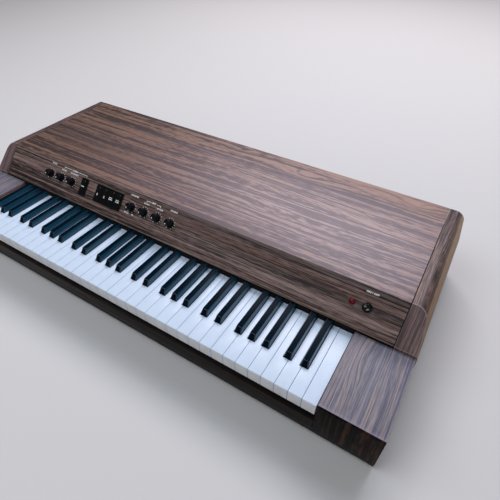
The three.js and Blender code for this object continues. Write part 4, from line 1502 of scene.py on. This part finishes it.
@dataclass
class Knob:
    """A fluted knob with a skirt, a dished cap, a white dot and a ring of scale marks; sizes in mm."""

    finishes: Finishes
    radius: float = 8.5
    taper: float = 0.95
    flutes: int = 15
    flute_facets: int = 8
    flute_depth: float = 0.085
    foot: float = 1.2
    height: float = 12.4
    rim: float = 0.9
    rim_fall: float = 0.72
    skirt: Profile = ((0, 1), (9, 1), (9.4, 1.4), (9.4, 2.4), (8.9, 3), (0, 3))
    cap: Profile = ((0, 11.5), (7, 11.5), (7, 13.2), (6.6, 13.7), (6, 13.7), (5.4, 13.3), (3, 12.9),
                    (0, 12.8))
    shaft: Profile = ((0, -20), (3, -20), (3, 2), (0, 2))
    dot: Profile = ((0, 12.6), (1.25, 12.6), (1.25, 13.3), (1.0625, 13.45), (0, 13.5))
    dot_reach: float = 4.4
    dot_angle: float = math.radians(135)
    scale_radius: float = 11.2
    scale_angle: float = math.radians(150)
    tick: tuple[float, float] = (1.1, 2.5)
    ticks: int = 11

    def build(self, node: str) -> None:
        """Builds one knob and prints its scale.

        Args:
            node: The knob's CAD node.
        """
        place = PANEL.control(node)
        name = node.replace("_knob", "")
        parts = [self._grip(place), turned(self.skirt, place, steps=64), turned(self.cap, place),
                 turned(self.shaft, place, steps=24)]
        finished(f"{name}_knob_grip", merged(parts), self.finishes.knob_black, Slot.PLASTIC, body=node,
                 replaces=[node])
        side = Matrix.Rotation(self.dot_angle, 4, "Z") @ Matrix.Translation((0, self.dot_reach * MM, 0))
        finished(f"{name}_knob_dot", turned(self.dot, place @ side, steps=20), self.finishes.print_white,
                 Slot.PLASTIC, body=node)
        finished(f"{name}_scale", merged(self._scale(place)), self.finishes.print_white, Slot.PANEL)

    def _grip(self, place: Matrix) -> bmesh.types.BMesh:
        """Makes the fluted wall.

        Args:
            place: The frame of the knob's base.

        Returns:
            The mesh, in place.
        """
        grip = bmesh.new()
        bmesh.ops.create_circle(grip, cap_ends=True, radius=self.radius * MM,
                                segments=self.flutes * self.flute_facets)
        for vert in grip.verts:
            turn = self.flutes * math.atan2(vert.co.y, vert.co.x)
            vert.co *= 1 - self.flute_depth * (0.5 - 0.5 * math.cos(turn)) ** 2
        bmesh.ops.translate(grip, verts=grip.verts, vec=(0, 0, self.foot * MM))
        rise = bmesh.ops.extrude_face_region(grip, geom=grip.faces[:])["geom"]
        rim = [item for item in rise if isinstance(item, bmesh.types.BMVert)]
        bmesh.ops.translate(grip, verts=rim, vec=(0, 0, (self.height - self.foot) * MM))
        bmesh.ops.scale(grip, verts=rim, vec=(self.taper, self.taper, 1.0))
        top = [item for item in rise if isinstance(item, bmesh.types.BMFace)]
        bmesh.ops.inset_region(grip, faces=top, thickness=self.rim * MM, depth=self.rim_fall * MM)
        bmesh.ops.recalc_face_normals(grip, faces=grip.faces)
        bmesh.ops.transform(grip, matrix=place, verts=grip.verts)
        return grip

    def _scale(self, place: Matrix) -> Iterator[bmesh.types.BMesh]:
        """Makes the ring of scale marks.

        Args:
            place: The frame of the knob's base.

        Yields:
            Each mark's mesh, in place.
        """
        wide, tall = (side * MM for side in self.tick)
        for angle in spread(self.scale_angle, -self.scale_angle, self.ticks):
            turn = Matrix.Rotation(angle, 4, "Z")
            middle = turn @ Matrix.Translation((0, self.scale_radius * MM, 0))
            mark = block((-wide / 2, -tall / 2, -PRINT_HEIGHT), (wide / 2, tall / 2, PRINT_HEIGHT))
            bmesh.ops.transform(mark, matrix=place @ middle, verts=mark.verts)
            yield mark


@dataclass(frozen=True)
class Bar:
    """A printed bar or word on a rocker, in mm from the fold: right, up the half, and its size."""

    x: float
    up: float
    width: float
    height: float
    text: str = ""


@dataclass
class Rocker:
    """A rocker switch with its print and its small grey dot; sizes in mm."""

    finishes: Finishes
    tilt: float = math.radians(7)
    lean: float = math.atan2(1.2, 16)
    pivot: float = -0.5
    fold: float = 4.0
    edge: float = 0.5
    dot: Profile = ((0, -0.1), (0.8, -0.1), (0.8, 0.15), (0, 0.2))

    def build(self, node: str, marks: Sequence[Bar], dot_place: tuple[float, float]) -> None:
        """Builds one rocker.

        Args:
            node: The rocker's CAD node.
            marks: What is printed on it.
            dot_place: The grey dot's place on the upper half.
        """
        finished(f"{node}_cap", eased(node, self.edge * MM, segments=3), self.finishes.black,
                 Slot.PLASTIC, body=node, replaces=[node])
        turn = Matrix.Rotation(self.tilt, 4, "X")
        fold = PANEL.control(node, self.pivot * MM) @ turn @ Matrix.Translation((0, 0, self.fold * MM))
        prints = [self._mark(mark, fold) for mark in marks]
        finished(f"{node}_mark", merged(prints), self.finishes.print_white, Slot.PLASTIC, body=node)
        x, up = dot_place
        place = fold @ Matrix.Rotation(self.lean, 4, "X") @ Matrix.Translation((x * MM, up * MM, 0))
        finished(f"{node}_dot", turned(self.dot, place, steps=16), self.finishes.print_grey, Slot.PLASTIC,
                 body=node)

    def _mark(self, mark: Bar, fold: Matrix) -> bmesh.types.BMesh:
        """Prints one mark on the half that it lies on.

        Args:
            mark: The mark.
            fold: The frame of the rocker's fold.

        Returns:
            The mesh, in place.
        """
        lean = Matrix.Rotation(math.copysign(self.lean, mark.up), 4, "X")
        place = fold @ lean @ Matrix.Translation((mark.x * MM, mark.up * MM, 0))
        if mark.text:
            return words(mark.text, mark.width * MM, mark.height * MM, place)
        half = Vector((mark.width * MM / 2, mark.height * MM / 2, PRINT_HEIGHT))
        bar = block(-half, half)
        bmesh.ops.transform(bar, matrix=place, verts=bar.verts)
        return bar


@dataclass
class Power:
    """The power button in its collar, and the lamp; each profile gives radius and height in mm."""

    finishes: Finishes
    collar: Profile = ((6.6, -18), (7.4, -18), (7.4, 0.3), (8.5, 0.3), (8.5, 2.6), (8.1, 3.5), (7.3, 3.8),
                       (6.8, 3.5), (6.6, 2.8), (6.6, -18))
    button: Profile = ((0, -16), (4, -16), (4, -12), (6.1, -12), (6.1, 4.5), (5.9, 5.1), (5.4, 5.3),
                       (4.4, 4.9), (2.4, 4.4), (0, 4.2))
    stem: Profile = ((0, -14), (4.4, -14), (4.4, 0.3))
    dome_radius: float = 5.5
    dome_height: float = 3.0
    dome_turn: float = math.radians(81)
    dome_points: int = 10

    def build(self) -> None:
        """Builds the collar, the button and the lamp."""
        place = PANEL.control("power_button")
        finished("power_collar_ring", turned(self.collar, place, steps=64), self.finishes.ring_black,
                 Slot.PLASTIC, replaces=["power_button_collar"])
        finished("power_button_cap", turned(self.button, place, steps=64), self.finishes.gloss_black,
                 Slot.BUTTON, body="power_button", replaces=["power_button"], smooth=50)
        base = self.stem[-1][1]
        dome = [(self.dome_radius * math.cos(turn), base + self.dome_height * math.sin(turn))
                for turn in spread(0, self.dome_turn, self.dome_points)]
        profile = [*self.stem, *dome, (0, base + self.dome_height)]
        finished("power_lamp_dome", turned(profile, PANEL.control("power_lamp_lens")),
                 self.finishes.lens, Slot.LENS, replaces=["power_lamp_lens"], smooth=50)


@dataclass(frozen=True)
class Label:
    """Plain print on the panel, in mm: the middle's place, the width and the height."""

    text: str
    x: float
    up: float
    width: float
    height: float = 3.3


@dataclass(frozen=True)
class Bracket:
    """A printed bracket over some controls, open round its number; all in mm."""

    left: float
    right: float
    gap: tuple[float, float]
    up: float
    drop: float = 3.5
    thick: float = 1.2

    def bars(self) -> Iterator[bmesh.types.BMesh]:
        """Makes the bracket.

        Yields:
            The mesh of each of its bars, in place.
        """
        half = self.thick / 2
        top = (self.up + half) * MM
        for left, right, low in ((self.left, self.gap[0], self.up - half),
                                 (self.gap[1], self.right, self.up - half),
                                 (self.left - half, self.left + half, self.up - self.drop),
                                 (self.right - half, self.right + half, self.up - self.drop)):
            bar = block((left * MM, low * MM, -PRINT_HEIGHT), (right * MM, top, PRINT_HEIGHT))
            bmesh.ops.transform(bar, matrix=PANEL.at(0, 0), verts=bar.verts)
            yield bar


@dataclass
class Controls:
    """Everything on the sloped panel: knobs, rockers, power button, lamp and printed marks."""

    finishes: Finishes
    knobs: tuple[str, ...] = ("decay_knob", "tremolo_speed_knob", "tremolo_depth_knob", "pitch_knob",
                              "bass_knob", "treble_knob", "volume_knob")
    bezel_edge: float = 0.3 * MM
    labels: tuple[Label, ...] = (
        Label("0123", -345.9, 66.8, 14.5), Label("0123", -310.5, 59.7, 15.5),
        Label("0123456", -276.0, 60.0, 25), Label("1234", -275.4, 66.9, 17, 3.8),
        Label("012345", -93.5, 66.7, 21), Label("0123", -58.7, 60.1, 14), Label("567", -41.0, 67.0, 11, 3.8),
        Label("0123", -22.8, 59.8, 16), Label("01234", 11.6, 66.9, 18), Label("012", -101.3, 27.1, 13),
        Label("-", -84.6, 26.8, 4, 2.4), Label("ON / OFF", 428.0, 67.0, 22),
    )
    brackets: tuple[Bracket, ...] = (
        Bracket(-310.5, -238.5, (-285.5, -265.5), 66.9), Bracket(-59.7, -23.1, (-48.0, -34.0), 66.5),
    )

    def build(self) -> None:
        """Builds every control and every mark."""
        knob = Knob(self.finishes)
        for node in self.knobs:
            knob.build(node)
        self._rockers()
        for name in ("tremolo", "tone"):
            node = f"{name}_rocker_bezel"
            finished(f"{name}_bezel", eased(node, self.bezel_edge), self.finishes.black, Slot.PLASTIC,
                     replaces=[node])
        Power(self.finishes).build()
        prints = [words(label.text, label.width * MM, label.height * MM,
                        PANEL.at(label.x * MM, label.up * MM)) for label in self.labels]
        finished("panel_numbers", merged(prints), self.finishes.print_white, Slot.PANEL)
        bars = [bar for bracket in self.brackets for bar in bracket.bars()]
        finished("panel_brackets", merged(bars), self.finishes.print_white, Slot.PANEL)

    def _rockers(self) -> None:
        """Builds the five rockers with their marks."""
        rocker = Rocker(self.finishes)
        rocker.build("tremolo_rocker", [Bar(-1.2, 1.2, 9.2, 2.2)], (5.6, 14.6))
        rocker.build("tone_rocker_1", [Bar(-3.4, -2.2, 2.6, 4.6, "1")], (2.2, 13.6))
        rocker.build("tone_rocker_2", [Bar(-0.8, -2.6, 4.2, 5.0, "2")], (3.0, 13.6))
        for node, shift in (("tone_rocker_3", -0.2), ("tone_rocker_4", 1.4)):
            bars = [Bar(shift, 1.7, 8.6, 1.9), Bar(shift - 0.4, -2.2, 10.6, 2.1)]
            rocker.build(node, bars, (7.2, 14.6))


@dataclass(frozen=True)
class Softbox:
    """A rectangular soft light."""

    name: str
    place: Triple
    aim: Triple
    size: tuple[float, float]
    power: float
    colour: Colour

    def hang(self) -> None:
        """Adds the light to the scene, turned to its aim."""
        lamp = bpy.data.lights.new(self.name, "AREA")
        lamp.shape = "RECTANGLE"
        lamp.size, lamp.size_y = self.size
        lamp.energy = self.power
        lamp.color = self.colour
        light = bpy.data.objects.new(self.name, lamp)
        light.location = self.place
        light.rotation_mode = "QUATERNION"
        light.rotation_quaternion = (Vector(self.aim) - Vector(self.place)).to_track_quat("-Z", "Y")
        light.visible_camera = False
        bpy.context.scene.collection.objects.link(light)


@dataclass
class Studio:
    """The floor, the soft lights and the camera at the photograph's view, its turn in degrees."""

    camera_place: Triple = (482.7 * MM, -543.95 * MM, 656.1 * MM)
    camera_turn: Triple = (47.4295, -0.4526, 31.3783)
    lens: float = 29.568
    sensor: float = 36.0
    nearest: float = 0.01
    shift: tuple[float, float] = (0.0044, 0.0001)
    floor_half: float = 6.0
    floor_roughness: float = 0.9
    floor_colour: Colour = (0.62, 0.63, 0.65)
    sky_colour: Colour = (1.0, 0.97, 0.95)
    sky_strength: float = 0.1
    lights: tuple[Softbox, ...] = (
        Softbox("window", (-0.3, 2.72, 2.8), (0.2, 0.1, 0.1), (3.0, 1.3), 112.0, (1.0, 0.92, 0.93)),
        Softbox("sky_panel", (0.67, 1.23, 2.27), (0.47, -0.15, 0.1), (1.1, 0.6), 12.0, (0.75, 0.86, 1.0)),
        Softbox("overhead", (-0.95, -0.9, 2.3), (-0.35, 0.0, 0.1), (2.0, 1.6), 28.0, (0.95, 0.97, 1.0)),
        Softbox("front_fill", (1.3, -2.3, 1.4), (0.1, 0.0, 0.1), (1.4, 1.0), 9.0, (1.0, 0.96, 0.92)),
        Softbox("low_warm", (1.7, 1.9, 0.3), (0.5, 0.1, 0.1), (0.9, 0.5), 5.0, (1.0, 0.8, 0.58)),
    )

    def build(self) -> None:
        """Sets up everything round the instrument."""
        self.floor()
        for light in self.lights:
            light.hang()
        self.sky()
        self.camera()
        bpy.context.scene.view_settings.view_transform = "Standard"

    def floor(self) -> None:
        """Lays a plain pale floor."""
        bm = bmesh.new()
        bmesh.ops.create_grid(bm, x_segments=1, y_segments=1, size=self.floor_half)
        mesh = bpy.data.meshes.new("floor")
        bm.to_mesh(mesh)
        bm.free()
        recipe = Recipe("pale_floor")
        recipe.set(Base_Color=self.floor_colour, Roughness=self.floor_roughness)
        mesh.materials.append(recipe.material)
        floor = bpy.data.objects.new("floor", mesh)
        bpy.context.scene.collection.objects.link(floor)

    def sky(self) -> None:
        """Surrounds the scene with an even pale sky."""
        world = bpy.data.worlds.new("pale_sky")
        world.use_nodes = True
        background = world.node_tree.nodes["Background"]
        background.inputs["Color"].default_value = (*self.sky_colour, 1.0)
        background.inputs["Strength"].default_value = self.sky_strength
        bpy.context.scene.world = world

    def camera(self) -> None:
        """Places the camera where the photograph was taken from."""
        data = bpy.data.cameras.new("view")
        data.sensor_width = self.sensor
        data.lens = self.lens
        data.shift_x, data.shift_y = self.shift
        data.clip_start = self.nearest
        camera = bpy.data.objects.new("view", data)
        camera.location = self.camera_place
        camera.rotation_euler = tuple(math.radians(angle) for angle in self.camera_turn)
        bpy.context.scene.collection.objects.link(camera)
        bpy.context.scene.camera = camera


def main() -> None:
    """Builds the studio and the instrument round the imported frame."""
    logging.basicConfig(level=logging.INFO, format="%(name)s: %(message)s")
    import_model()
    Studio().build()
    finishes = Finishes()
    Cabinet(finishes).build()
    Keyboard(finishes).build()
    Controls(finishes).build()


if __name__ == "__main__":
    main()
